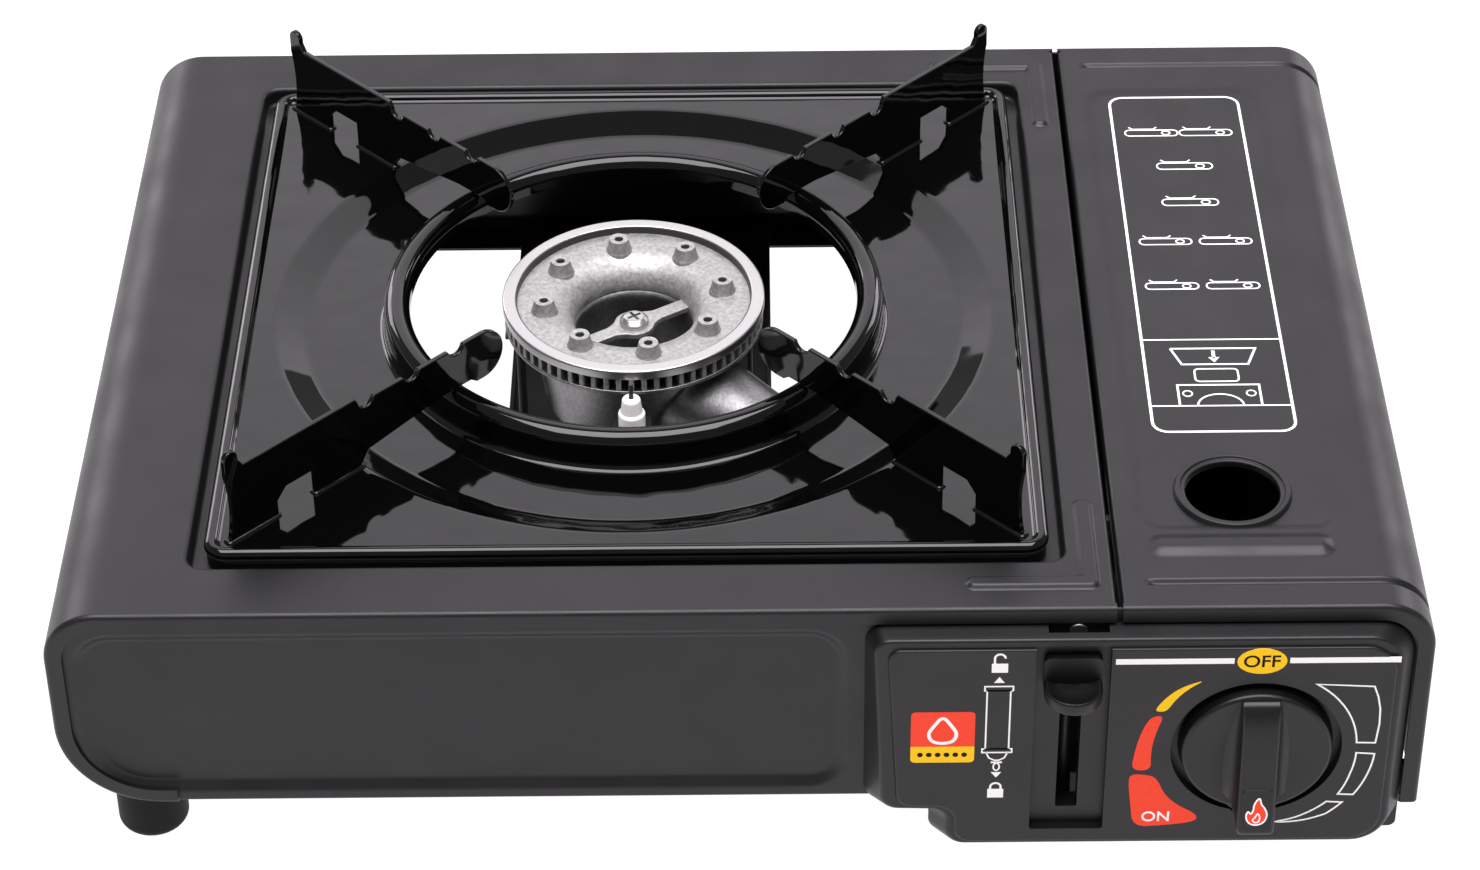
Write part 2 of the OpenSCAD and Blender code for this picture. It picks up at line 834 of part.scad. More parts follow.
module burner_cap() {
  plate_in = throat_r + throat_round;
  color("#c9c9c6") translate([well_x, mid_y, 0]) {
    flame_teeth();
    difference() {
      union() {
        rotate_extrude() {
          rect(head_r - head_rim, skirt_z + slot_h, head_r, head_z);
          rect(plate_in - bite, face_z - cast_t, head_r - head_rim + bite, face_z);
          difference() {
            intersection() {
              spot(plate_in, throat_low, throat_round);
              rect(throat_r - over, throat_low, plate_in, face_z + over);
            }
            spot(plate_in, throat_low, throat_round - cast_t);
          }
        }
        post_places() translate([0, 0, -cast_t / 2])
          cylinder(r1 = post_r + post_flare, r2 = post_r, h = post_h + cast_t / 2);
        slab_z(throat_low, throat_low + cast_t) {
          rotate(bar_turn) rect(-throat_r - bite, -bar_w / 2, throat_r + bite, bar_w / 2);
          circle(hub_r);
        }
      }
      post_places() translate([0, 0, -2 * cast_t]) cylinder(r = post_hole_r, h = 4 * cast_t);
      translate([0, 0, throat_low - over]) cylinder(r = burner_screw_r + run_fit, h = 2 * cast_t);
    }
  }
}

module burner_screw() {
  color("gainsboro") translate([well_x, mid_y, 0]) {
    translate([0, 0, throat_low + cast_t]) cylinder(r1 = burner_head_r, r2 = burner_head_top_r, h = burner_head_t);
    translate([0, 0, bowl_low + hub_floor])
      cylinder(r = burner_screw_r, h = throat_low + cast_t - bowl_low - hub_floor);
  }
}

module igniter_bracket() {
  wall_y = ceramic_y - igniter_back;
  color("#4a4a4c") translate([well_x, mid_y, 0]) difference() {
    union() {
      slab_y(wall_y, wall_y + igniter_t) rect(-igniter_half, strip_z + strip_t, igniter_half, ceramic_ear_z);
      slab_z(strip_z + strip_t, strip_z + strip_t + igniter_t)
        rect(-igniter_half, wall_y, igniter_half, wall_y + igniter_foot);
      slab_z(ceramic_ear_z - igniter_t, ceramic_ear_z)
        rect(-igniter_half, wall_y, igniter_half, ceramic_y + igniter_half);
    }
    translate([0, ceramic_y, ceramic_ear_z - 2 * igniter_t])
      cylinder(r = ceramic_r - ceramic_neck + run_fit, h = 3 * igniter_t);
  }
}

module igniter_ceramic() {
  color("white") translate([well_x, mid_y + ceramic_y, 0]) difference() {
    union() {
      translate([0, 0, ceramic_ear_z]) cylinder(r = ceramic_r, h = ceramic_h);
      translate([0, 0, ceramic_ear_z + ceramic_h])
        cylinder(r1 = ceramic_r - ceramic_neck, r2 = ceramic_r - 1.5 * ceramic_neck, h = ceramic_tip);
      translate([0, 0, ceramic_ear_z - ceramic_tail]) cylinder(r = ceramic_r - ceramic_neck, h = ceramic_tail);
    }
    translate([0, 0, ceramic_ear_z - ceramic_tail - over])
      cylinder(r = electrode_r + run_fit, h = ceramic_tail + ceramic_h + ceramic_tip + 2 * over);
  }
}

module igniter_electrode() {
  color("dimgray") translate([well_x, mid_y + ceramic_y, ceramic_ear_z - electrode_tail])
    cylinder(r = electrode_r, h = ceramic_drop - electrode_drop + electrode_tail);
}

module gas_jet() {
  color("#b8923c") translate([well_x, mid_y, 0]) {
    along_tube(tube_len) cylinder(r = jet_r + tube_wall, h = jet_len);
    along_tube(tube_len - jet_plate - jet_nose) difference() {
      union() {
        cylinder(r1 = jet_r / 2, r2 = jet_r, h = jet_nose);
        translate([0, 0, jet_nose]) cylinder(r = jet_r, h = jet_plate);
      }
      translate([0, 0, -over]) cylinder(r = electrode_r, h = jet_nose);
    }
  }
}

// Place of the jet's rear end in the case
tube_way = [cos(tube_turn), sin(tube_turn), 0];
jet_end = [well_x, mid_y, tube_z] + (tube_len + jet_len) * tube_way;
pipe_path = [
  [can_x - reg_half, pipe_y, pipe_z],
  [arm_x - pipe_set, pipe_y, pipe_z],
  jet_end + pipe_run * tube_way,
  jet_end
];

module gas_pipe() {
  color("#b4b4b2") {
    for (k = [0 : len(pipe_path) - 2]) rod_between(pipe_path[k], pipe_path[k + 1], pipe_r);
    for (k = [1 : len(pipe_path) - 2]) translate(pipe_path[k]) sphere(pipe_r);
  }
}

module regulator_bracket() {
  half = reg_half - over;
  color("#8c8c8a") difference() {
    union() {
      slab_y(reg_y0 - reg_bracket_t, reg_y0) rect(can_x - half, tray_top, can_x + half, reg_z1 - reg_bracket_drop);
      slab_z(tray_top, tray_top + reg_bracket_t)
        rect(can_x - half, reg_y0 - reg_bracket_t, can_x + half, reg_y1 - port_len);
    }
    rod_along_y(knob_x, knob_z, reg_y0 - 2 * reg_bracket_t, reg_y0 + over, spindle_r + over);
    foot_places() cylinder(r = screw_r + over, h = 2 * tray_top);
  }
}

module regulator_body() {
  color("#9a9a98") difference() {
    union() {
      slab_y(reg_y0, reg_y1) round_rect(can_x - reg_half, reg_z0, can_x + reg_half, reg_z1, reg_r);
      slab_y(reg_y1 - reg_flange_t, reg_y1)
        round_rect(can_x - rod_half - rod_edge, can_z - reg_lug_half, can_x + rod_half + rod_edge,
          can_z + reg_lug_half, reg_r);
    }
    rod_along_y(knob_x, knob_z, reg_y0 - over, reg_y0 + spindle_len, spindle_r + run_fit);
    rod_along_y(can_x, can_z, reg_y1 - port_len, reg_y1 + over, port_r);
    for (s = [-1, 1])
      rod_along_y(can_x + s * rod_half, can_z, reg_y1 - reg_flange_t - over, reg_y1 + over, rod_r + run_fit);
  }
}

module cover_places() {
  for (k = [0 : 3]) rotate([90 * k + 45, 0, 0]) translate([0, cover_r - cover_head_r - cover_edge, 0]) children();
}

module regulator_cover() {
  x = can_x - reg_half;
  color("#8a8a88") translate([x - cover_t, cover_y, can_z]) difference() {
    union() {
      rotate([0, 90, 0]) cylinder(r1 = cover_dome_r - over, r2 = cover_dome_r, h = cover_t);
      translate([cover_t - cover_plate, 0, 0]) rotate([0, 90, 0]) cylinder(r = cover_r, h = cover_plate);
    }
    cover_places() rotate([0, 90, 0]) cylinder(r = cover_screw_r + run_fit, h = cover_t + over);
  }
}

module regulator_screws() {
  x = can_x - reg_half;
  color("silver") translate([x - cover_plate, cover_y, can_z]) cover_places() {
    translate([-screw_head_t, 0, 0]) rotate([0, 90, 0]) cylinder(r = cover_head_r, h = screw_head_t);
    rotate([0, 90, 0]) cylinder(r = cover_screw_r, h = cover_plate);
  }
}

module canister_socket() {
  color("#b8923c") difference() {
    union() {
      rod_along_y(can_x, can_z, reg_y1, socket_end, socket_r - socket_step);
      rod_along_y(can_x, can_z, reg_y1, reg_y1 + reg_flange_t, socket_r);
    }
    rod_along_y(can_x, can_z, reg_y1 - over, socket_end + over, socket_bore_r);
    rod_along_y(can_x, can_z, socket_end - seal_t, socket_end + over, socket_bore_r + seal_w);
  }
}

module socket_seal() {
  color("#1c1c1c") difference() {
    rod_along_y(can_x, can_z, socket_end - seal_t, socket_end + fit, socket_bore_r + seal_w - run_fit);
    rod_along_y(can_x, can_z, socket_end - 2 * seal_t, socket_end + over, socket_bore_r + fit);
  }
}

module carrier_rods() {
  color("silver") for (s = [-1, 1]) {
    rod_along_y(can_x + s * rod_half, can_z, reg_y1 - reg_flange_t, rod_end, rod_r);
    rod_along_y(can_x + s * rod_half, can_z, reg_y1 - reg_flange_t - rod_head, reg_y1 - reg_flange_t, rod_r + rod_head);
  }
}

module piezo_unit() {
  x = can_x + reg_half;
  back = reg_y0 + piezo_edge + piezo_d;
  color("#e6e2d6") {
    slab_x(x, x + piezo_t)
      round_rect(back - piezo_d, reg_z0 + piezo_edge, back, reg_z1 - piezo_drop, piezo_r);
    rod_along_y(x + piezo_t / 2, reg_z0 + piezo_edge + piezo_tail, back - bite, back + piezo_edge, piezo_r);
  }
}

// Bracket that holds the lever's guide rod behind the front panel
module lever_guide() {
  side = lever_x - slider_half - guide_t - guide_gap;
  color("#8c8c8a") difference() {
    union() {
      slab_x(side, side + guide_t) rect(panel_back, guide_low, slider_back, guide_high);
      for (z = [guide_low, guide_high - guide_t])
        slab_z(z, z + guide_t) rect(side, panel_back, lever_x + guide_half, rod_y0 + guide_half);
      slab_y(panel_back, panel_back + guide_t) rect(side - guide_foot, guide_low, side + guide_t, guide_high);
    }
    translate([lever_x, rod_y0, 0]) cylinder(r = rod_r + run_fit, h = case_top);
  }
}

module lever_rod() {
  color("silver") translate([lever_x, rod_y0, guide_low]) {
    cylinder(r = rod_r, h = guide_high - guide_low);
    translate([0, 0, guide_high - guide_low]) cylinder(r = rod_r + rod_head, h = rod_head);
  }
}

// Rubber foot with a sunk screw seat; rise is what it gains to meet a curved underside
module foot(top, rise) {
  edge = min(foot_round, top / 3);
  difference() {
    rotate_extrude() {
      rect(0, 0, foot_r - edge, top + rise);
      rect(0, edge, foot_r, top + rise);
      intersection() {
        spot(foot_r - edge, edge, edge);
        rect(0, 0, foot_r, edge + run_fit);
      }
    }
    translate([0, 0, -over]) cylinder(r = screw_r + slot_fit, h = top + rise + 2 * over);
    translate([0, 0, -over]) cylinder(r = foot_seat_r, h = over + top / 2);
  }
}

// Foot whose top is shaped to the lower corner of the case
module left_foot(y) {
  difference() {
    translate([left_x + foot_side, y, 0]) foot(case_floor, foot_rise);
    slab_y(y - 2 * foot_r, y + 2 * foot_r) case_section(0);
  }
}

module front_left_foot() {
  color("#1a1a1a") left_foot(front_y + foot_inset);
}

module rear_left_foot() {
  color("#1a1a1a") left_foot(back_y - foot_inset);
}

module front_right_foot() {
  color("#1a1a1a") translate([right_x - tray_foot_side, front_y + foot_inset, 0]) foot(bay_floor, 0);
}

module rear_right_foot() {
  color("#1a1a1a") translate([right_x - tray_foot_side, back_y - foot_inset, 0]) foot(bay_floor, 0);
}

module foot_screws() {
  color("silver") for (y = [front_y + foot_inset, back_y - foot_inset]) {
    for (seat = [[left_x + foot_side, case_floor], [right_x - tray_foot_side, bay_floor]])
      translate([seat[0], y, seat[1] / 2]) {
        translate([0, 0, -screw_head_t]) cylinder(r = foot_seat_r - bite, h = screw_head_t);
        cylinder(r = screw_r, h = seat[1] / 2 + sheet + foot_screw_end);
      }
  }
}

// Arm that holds a hinge pin inside the lid's lower edge
module hinge_bracket(y0) {
  foot_x = panel_right - tray_r - hinge_leg;
  color("#4a4a4c") slab_y(y0, y0 + bracket_t) difference() {
    union() {
      rect(foot_x, tray_top, foot_x + hinge_leg, hinge_z + boss_r);
      rect(foot_x, hinge_z - boss_r, hinge_x, hinge_z + boss_r);
      spot(hinge_x, hinge_z, boss_r);
    }
    spot(hinge_x, hinge_z, pin_r + run_fit);
  }
}

front_ear_y = panel_back + ear_gap;
rear_ear_y = rear_in - ear_gap - ear_t;
front_arm_y = front_ear_y + ear_t + ear_gap;
rear_arm_y = rear_ear_y - ear_gap - bracket_t;

module front_hinge_bracket() {
  hinge_bracket(front_arm_y);
}

module rear_hinge_bracket() {
  hinge_bracket(rear_arm_y);
}

module hinge_pins() {
  color("silver") {
    rod_along_y(hinge_x, hinge_z, front_ear_y - pin_over, front_arm_y + bracket_t + pin_over, pin_r);
    rod_along_y(hinge_x, hinge_z, rear_arm_y - pin_over, rear_ear_y + ear_t + pin_over, pin_r);
  }
}

// Lid section seen from the front, moved in by an inset
module lid_section(inset) {
  round_rect(lid_x - 3 * lid_r, lid_low - 3 * lid_r, right_x - inset, case_top - inset, lid_r - inset);
}

module lid_band(depth, from_x) {
  difference() {
    intersection() {
      lid_section(0);
      rect(from_x, lid_low, right_x, case_top);
    }
    lid_section(depth);
  }
}

module lid_groove(y0, depth) {
  slab_y(y0, y0 + groove_w) lid_band(depth, lid_x + groove_start);
}

module canister_lid() {
  hole_x = lid_x + finger_side;
  hole_y = front_y + finger_set;
  grooves = [front_y + groove_set, back_y - groove_set - groove_w];
  color("#2b2b2d") difference() {
    union() {
      slab_y(front_y, back_y) lid_band(sheet, lid_x);
      for (y = [front_y, back_y - sheet]) slab_y(y, y + sheet) lid_band(lip_w, lid_x);
      slab_x(lid_x, lid_x + sheet)
        rect(panel_back + fit, case_top - edge_h, rear_in - fit, case_top - sheet / 2);
      for (y = grooves) lid_groove(y, groove_depth + sheet);
      slab_z(case_top - sheet / 2, case_top + rib_h) spot(hole_x, hole_y, finger_r + ring_w);
      slab_z(case_top - sheet / 2, case_top + rib_h)
        round_rect(hole_x - bar_half, hole_y - bar_set - bar_d, hole_x + bar_half, hole_y - bar_set, bar_r);
    }
    for (y = grooves) lid_groove(y, groove_depth);
    translate([hole_x, hole_y, case_top - edge_h]) cylinder(r = finger_r, h = 2 * edge_h);
  }
}

module lid_ear(y0) {
  slab_y(y0, y0 + ear_t) difference() {
    union() {
      rect(hinge_x - boss_r - over, hinge_z, right_x - sheet, hinge_z + lid_ear_h);
      intersection() {
        spot(hinge_x, hinge_z, boss_r + over);
        rect(hinge_x - lid_ear_h, hinge_z - lid_ear_h, right_x - sheet, hinge_z + lid_ear_h);
      }
    }
    spot(hinge_x, hinge_z, pin_r + run_fit);
  }
}

module lid_hinge_ears() {
  color("#3a3a3c") {
    lid_ear(front_ear_y);
    lid_ear(rear_ear_y);
  }
}

// Grip bar of the knob, seen from the side: distance up from the axis and height above the disc
disc_proud = 2.2;
disc_edge = 0.8;
inlay_t = 0.4;
inlay_start = 4.8;
grip_bend = 4;
grip_back = 6;
grip_toe = 2;
disc_y = face_y - disc_proud;
grip_high = knob_proud - disc_proud - inlay_t;
grip_mid = grip_high * 0.8;
grip_nose = -knob_r - fit;
grip_rise = (grip_high - grip_mid) / (-grip_bend - grip_nose);
grip_side = [
  [knob_r - disc_edge, -over], [knob_r - grip_toe, grip_toe], [grip_back, grip_mid * 0.82], [-grip_bend, grip_mid],
  [grip_nose, grip_high], [grip_nose - disc_edge, grip_high - grip_toe], [-knob_r + bite, -over]
];
inlay_side = [
  [-inlay_start, grip_mid + grip_rise * (inlay_start - grip_bend)], [grip_nose, grip_high],
  [grip_nose, grip_high + inlay_t], [-inlay_start, grip_mid + inlay_t]
];

// Bar profile placed on the knob: first number up, second towards the user
module on_knob(half) {
  translate([knob_x - half, disc_y, knob_z]) rotate([90, 0, 90])
    linear_extrude(2 * half) rotate(90) children();
}

module gas_knob() {
  color("#1d1d1f") difference() {
    union() {
      rod_along_y(knob_x, knob_z, disc_y, disc_y + over, knob_r - disc_edge);
      rod_along_y(knob_x, knob_z, disc_y + disc_edge, knob_floor - 2 * fit, knob_r);
      on_knob(grip_w / 2) polygon(grip_side);
    }
    rod_along_y(knob_x, knob_z, disc_y + over, knob_floor, spindle_r + run_fit);
  }
}

module knob_inlay() {
  color("#2a2a2c") on_knob(grip_w / 2 - bite) polygon(inlay_side);
}

module valve_spindle() {
  color("#b8923c") rod_along_y(knob_x, knob_z, disc_y + over, reg_y0 + spindle_len - bite, spindle_r);
}

module lock_lever() {
  root = lever_floor - fit;
  nose = root - tongue_l;
  color("#1d1d1f") {
    slab_z(lever_z + tongue_up - tongue_t, lever_z + tongue_up) {
      rect(lever_x - tongue_w / 2, nose + tongue_w / 2, lever_x + tongue_w / 2, root);
      intersection() {
        spot(lever_x, nose + tongue_w / 2, tongue_w / 2);
        rect(lever_x - tongue_w, nose - over, lever_x + tongue_w, nose + tongue_w / 2 + run_fit);
      }
    }
    slab_y(root - backing_t, root)
      rect(lever_x - tongue_w / 2, lever_z, lever_x + tongue_w / 2, lever_z + backing_h);
    slab_y(root - bite, slider_front)
      rect(lever_x - stem_half, lever_z - stem_h / 2, lever_x + stem_half, lever_z + stem_h / 2);
  }
}

module lever_slider() {
  color("silver") difference() {
    slab_x(lever_x - slider_half, lever_x + slider_half)
      rect(slider_front, lever_z - slider_h / 2, slider_back, lever_z + slider_h / 2);
    translate([lever_x, rod_y0, 0]) cylinder(r = rod_r + run_fit, h = case_top);
    rod_along_x(pin_y, lever_z, lever_x + slider_half - pin_grip, lever_x + slider_half + over,
      lever_pin_r + run_fit);
  }
}

module lever_pin() {
  color("silver") rod_along_x(pin_y, lever_z, lever_x + slider_half - pin_grip, arm_x + arm_plate + pin_end,
    lever_pin_r);
}

// Sliding fork that draws the canister against its socket, with the inclined slot of the lever
module canister_carrier() {
  slot_r = lever_pin_r + slot_fit;
  low = [pin_y + carrier_travel, lever_low];
  high = [pin_y, lever_z];
  lean = atan2(carrier_travel, lever_travel);
  run = norm(low - high);
  edge = slot_r + slot_edge;
  color("#b0b0ae") {
    difference() {
      slab_x(arm_x, arm_x + arm_plate) {
        rect(high[0] - edge, lever_low - edge, low[0] + edge, lever_z + edge);
        rect(low[0], can_z - fork_lug, carrier_y + carrier_t, can_z + fork_lug);
      }
      slab_x(arm_x - over, arm_x + arm_plate + over) {
        spot(low[0], low[1], slot_r);
        spot(high[0], high[1], slot_r);
        translate(low) rotate(lean) rect(-slot_r, 0, slot_r, run);
      }
    }
    slab_y(carrier_y, carrier_y + carrier_t) difference() {
      rect(arm_x, fork_low, can_x + rod_half + rod_edge, fork_top);
      spot(can_x, can_z, fork_half);
      rect(can_x - fork_half, can_z, can_x + fork_half, fork_top + over);
      for (s = [-1, 1]) spot(can_x + s * rod_half, can_z, rod_r + run_fit);
    }
  }
}

// Rolled rim of the pan
module rolled_rim() {
  r = rim_d / 2;
  run = pan_half - pan_r;
  for (k = [0 : 3]) rotate(90 * k) {
    rod_along_x(pan_half - r, rim_z, -run, run, r);
    translate([run, run, rim_z]) rotate_extrude(angle = 90) translate([pan_r - r, 0]) circle(r);
  }
}

module pan_square(inset) {
  round_rect(-pan_half + inset, -pan_half + inset, pan_half - inset, pan_half - inset, pan_r - inset);
}

// Revolved dish and collar, right half
module dish_section() {
  polygon([
    [dish_r + over, pan_flat], [dish_r, pan_flat], [dish_floor_r, dish_z], [collar_r - pan_t, dish_z],
    [collar_r - pan_t, dish_z - pan_t], [dish_floor_r, dish_z - pan_t], [dish_r, pan_flat - pan_t],
    [dish_r + over, pan_flat - pan_t]
  ]);
  rect(collar_r - pan_t, dish_z - pan_t, collar_r, collar_bend);
  rect(collar_hole_r, collar_top - collar_lip, collar_hole_r + pan_t, collar_bend);
  difference() {
    intersection() {
      spot(collar_mid, collar_bend, collar_round);
      rect(collar_hole_r, collar_bend, collar_r, collar_top);
    }
    spot(collar_mid, collar_bend, collar_round - pan_t);
  }
}

module drip_pan() {
  color("#101012") translate([well_x, mid_y, 0]) {
    difference() {
      slab_z(pan_flat - pan_t, pan_flat) pan_square(rim_d / 2);
      translate([0, 0, pan_flat - 2 * pan_t]) cylinder(r = dish_r + bite, h = 4 * pan_t);
    }
    rotate_extrude($fn = 128) dish_section();
    rolled_rim();
    slab_z(ledge_z, rim_z) difference() {
      pan_square(skirt_in);
      pan_square(skirt_in + pan_t);
    }
  }
}

// Arm seen from the side: distance from the burner axis and height
module arm_outline() {
  tip_x = arm_tip + tip_r;
  ear_out = arm_end - ear_in;
  difference() {
    union() {
      polygon([
        [arm_end, arm_foot], [ear_out, rest_z], [ear_out - 2 * ear_r, rest_z + ear_r], [arm_end - ear_foot, rest_z],
        [arm_step_t, rest_z], [arm_step_t - over, step_z], [tip_x, step_z], [tip_x, arm_low - arm_drop],
        [collar_hole_r - 2 * arm_drop, arm_low - arm_drop], [collar_hole_r - over, arm_low],
        [collar_r + 2 * over, arm_low], [tab_in - window_bevel, arm_low - window_bevel], [tab_in, arm_foot],
        [tab_out, arm_foot], [tab_out, window_top], [window_out - window_bevel, window_top],
        [window_out, window_top - window_bevel], [window_out, arm_foot]
      ]);
      intersection() {
        spot(tip_x, step_z - tip_r, tip_r);
        rect(arm_tip, arm_low - arm_drop, tip_x + bite, step_z);
      }
      rect(ear_out - 2 * ear_r, rest_z - over, ear_out, rest_z + ear_h - ear_r);
      spot(ear_out - ear_r, rest_z + ear_h - ear_r, ear_r);
    }
    for (k = [0 : notch_count - 1]) spot(notch_out - k * arm_pitch, step_z + bite, notch_r);
    spot(arm_end + arm_waist_r - arm_waist, (arm_foot + rest_z) / 2, arm_waist_r);
  }
}

module pan_arm(turn) {
  color("#161618") translate([well_x, mid_y, 0]) rotate([90, 0, turn])
    translate([0, 0, -arm_t / 2]) linear_extrude(arm_t) arm_outline();
}

module front_left_arm() {
  pan_arm(225);
}

module front_right_arm() {
  pan_arm(315);
}

module rear_left_arm() {
  pan_arm(135);
}

module rear_right_arm() {
  pan_arm(45);
}

body_shell();
front_panel();
rear_panel();
partition_wall();
bay_tray();
control_panel();
burner_bracket();
burner_body();
burner_cap();
burner_screw();
igniter_bracket();
igniter_ceramic();
igniter_electrode();
gas_jet();
gas_pipe();
regulator_bracket();
regulator_body();
regulator_cover();
regulator_screws();
canister_socket();
socket_seal();
carrier_rods();
piezo_unit();
lever_guide();
lever_rod();
panel_screw();
front_left_foot();
rear_left_foot();
front_right_foot();
rear_right_foot();
foot_screws();
front_hinge_bracket();
rear_hinge_bracket();
hinge_pins();
canister_lid();
lid_hinge_ears();
gas_knob();
knob_inlay();
valve_spindle();
lock_lever();
lever_slider();
lever_pin();
canister_carrier();
drip_pan();
front_left_arm();
front_right_arm();
rear_left_arm();
rear_right_arm();
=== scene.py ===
import json
import math
from contextlib import contextmanager

import bmesh
import bpy
import numpy as np
from mathutils import Matrix, Vector


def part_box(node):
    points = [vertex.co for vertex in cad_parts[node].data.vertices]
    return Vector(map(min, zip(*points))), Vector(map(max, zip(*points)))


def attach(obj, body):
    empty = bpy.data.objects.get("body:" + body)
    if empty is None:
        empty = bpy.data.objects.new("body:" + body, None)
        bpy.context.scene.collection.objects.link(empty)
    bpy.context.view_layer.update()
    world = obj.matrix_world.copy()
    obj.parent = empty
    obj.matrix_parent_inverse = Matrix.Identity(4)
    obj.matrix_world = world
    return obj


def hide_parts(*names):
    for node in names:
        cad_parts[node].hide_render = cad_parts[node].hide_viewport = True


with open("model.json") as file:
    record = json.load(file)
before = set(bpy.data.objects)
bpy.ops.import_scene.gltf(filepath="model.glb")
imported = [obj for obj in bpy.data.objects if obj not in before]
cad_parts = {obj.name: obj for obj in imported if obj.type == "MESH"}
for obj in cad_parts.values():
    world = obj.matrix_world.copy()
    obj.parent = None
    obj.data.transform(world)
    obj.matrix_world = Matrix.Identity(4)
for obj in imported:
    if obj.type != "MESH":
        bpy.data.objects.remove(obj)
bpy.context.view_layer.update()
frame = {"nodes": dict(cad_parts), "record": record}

MM = 0.001
TURN = 2 * math.pi
UP, OUT = Vector((0, 0, 1)), Vector((0, -1, 0))
NODES = frame["nodes"]
RECORD = frame["record"]
SLOT_OF = {row["node"]: row["material_slot"] for row in RECORD["subparts"]}
BODY_OF = {node: body for body, nodes in RECORD["behaviour"]["bodies"].items() for node in nodes}


# Sizes in millimetres, with the outer limits read from the CAD nodes

def corners(node):
    """A node's lowest and highest corners, to a tenth of a millimetre."""
    return [[round(c / MM, 1) for c in corner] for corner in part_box(node)]


def span(node, axis):
    """A node's middle and half width along an axis."""
    low, high = (corner[axis] for corner in corners(node))
    return (low + high) / 2, (high - low) / 2


SHEET, LIP, FOLD, GAP = 0.8, 4.5, 1.4, 0.3
CASE_R, CASE_LOW_R, LID_R = 14.5, 25.0, 14.0
(LEFT, FRONT, FLOOR), (TOP_END, BACK, _) = corners("body_shell")
(LID_X, _, LID_LOW), (RIGHT, _, _) = corners("canister_lid")
(PANEL_LEFT, PANEL_FRONT, BAY_FLOOR), (PANEL_RIGHT, _, PANEL_TOP) = corners("front_panel")
PANEL_BACK, PANEL_LOW = PANEL_FRONT + SHEET, FLOOR + SHEET + GAP
REAR_OUT = corners("rear_panel")[1][1]
REAR_IN = REAR_OUT - SHEET
TOP = PANEL_TOP + SHEET + GAP
TRAY_X = corners("bay_tray")[0][0]
RETURN_X, EDGE_LOW = LEFT + 29.0, TOP - 6.0

(WELL_X, PAN_HALF), (MID_Y, _) = span("drip_pan", 0), span("drip_pan", 1)
AXIS = (WELL_X, MID_Y)
LEDGE_Z, COLLAR_TOP = (corner[2] for corner in corners("drip_pan"))
PAN_R, PAN_T = 6.0, 0.8
PAN_FLAT = corners("front_left_arm")[0][2]
WELL_HALF, WELL_R, LEDGE_W = PAN_HALF + 3.5, 4.5, 8.0

(BASE_LEFT, FACE_Y, BASE_LOW), (BASE_RIGHT, _, BASE_TOP) = corners("control_panel")
LEVER_FLOOR, KNOB_FLOOR, DISC_Y = FACE_Y + 2.5, FACE_Y + 3.0, FACE_Y - 2.2
KNOB_X, KNOB_R = span("gas_knob", 0)
KNOB_Z = corners("gas_knob")[1][2] - KNOB_R
LEVER_X, LEVER_HALF = span("lock_lever", 0)
(_, _, LEVER_LOW), (_, LEVER_BACK, LEVER_TOP) = corners("lock_lever")

HEAD_R, HEAD_Z, THROAT_LOW = span("burner_cap", 0)[1], TOP + 4.0, corners("burner_cap")[0][2]
FACE_Z, SKIRT_Z = HEAD_Z - 2.2, corners("burner_body")[1][2]
TUBE_Z = span("gas_jet", 2)[0]
HOLE_X, HOLE_Y, HOLE_R = LID_X + 31.0, FRONT + 46.0, 12.0

# Tolerance for a station, reach of a cutter beyond what it cuts, merging distance and default crease angle
SAME, OVER, MERGE, CREASE = 0.01, 2.0, 0.002, 38.0


# Outlines

def arc(cx, cy, radius, start, end, steps):
    """Points along a circle from one angle to another, both included."""
    turns = np.linspace(start, end, steps + 1)
    return [(cx + radius * math.cos(a), cy + radius * math.sin(a)) for a in turns]


def ellipse(cx, cy, a, b, count=48):
    return [(cx + a * math.cos(t), cy + b * math.sin(t)) for t in np.linspace(0, TURN, count + 1)[:-1]]


def disc(cx, cy, radius, count):
    return ellipse(cx, cy, radius, radius, count)


def rounded(points, radii, seg=6, closed=False):
    """A polyline with its corners turned into arcs."""
    out = []
    count = len(points)
    for i, (point, radius) in enumerate(zip(points, radii)):
        here = np.array(point, float)
        if radius <= 0 or (not closed and i in (0, count - 1)):
            out.append(tuple(here))
            continue
        before = np.array(points[i - 1], float) - here
        after = np.array(points[(i + 1) % count], float) - here
        before /= np.linalg.norm(before)
        after /= np.linalg.norm(after)
        half = math.acos(float(np.clip(before @ after, -1, 1))) / 2
        bisector = (before + after) / np.linalg.norm(before + after)
        centre = here + bisector * radius / math.sin(half)
        first = here + before * radius / math.tan(half) - centre
        last = here + after * radius / math.tan(half) - centre
        start = math.atan2(first[1], first[0])
        sweep = (math.atan2(last[1], last[0]) - start + math.pi) % TURN - math.pi
        out += arc(centre[0], centre[1], radius, start, start + sweep, seg)
    return out


def box_outline(x0, y0, x1, y1):
    return [(x0, y0), (x1, y0), (x1, y1), (x0, y1)]


def rect_points(x0, y0, x1, y1, radius, seg=6):
    return rounded(box_outline(x0, y0, x1, y1), [radius] * 4, seg, True)


def dense(path, step):
    """The same polyline with no run longer than step."""
    out = [path[0]]
    for a, b in zip(path, path[1:]):
        runs = max(1, math.ceil(math.dist(a, b) / step))
        for k in range(1, runs + 1):
            out.append(tuple(np.array(a) + (np.array(b) - np.array(a)) * k / runs))
    return out


def right_normals(path):
    """Unit normals on the right-hand side of an open path."""
    ways = np.gradient(np.array(path, float), axis=0)
    ways /= np.linalg.norm(ways, axis=1)[:, None]
    return np.stack([ways[:, 1], -ways[:, 0]], axis=1)


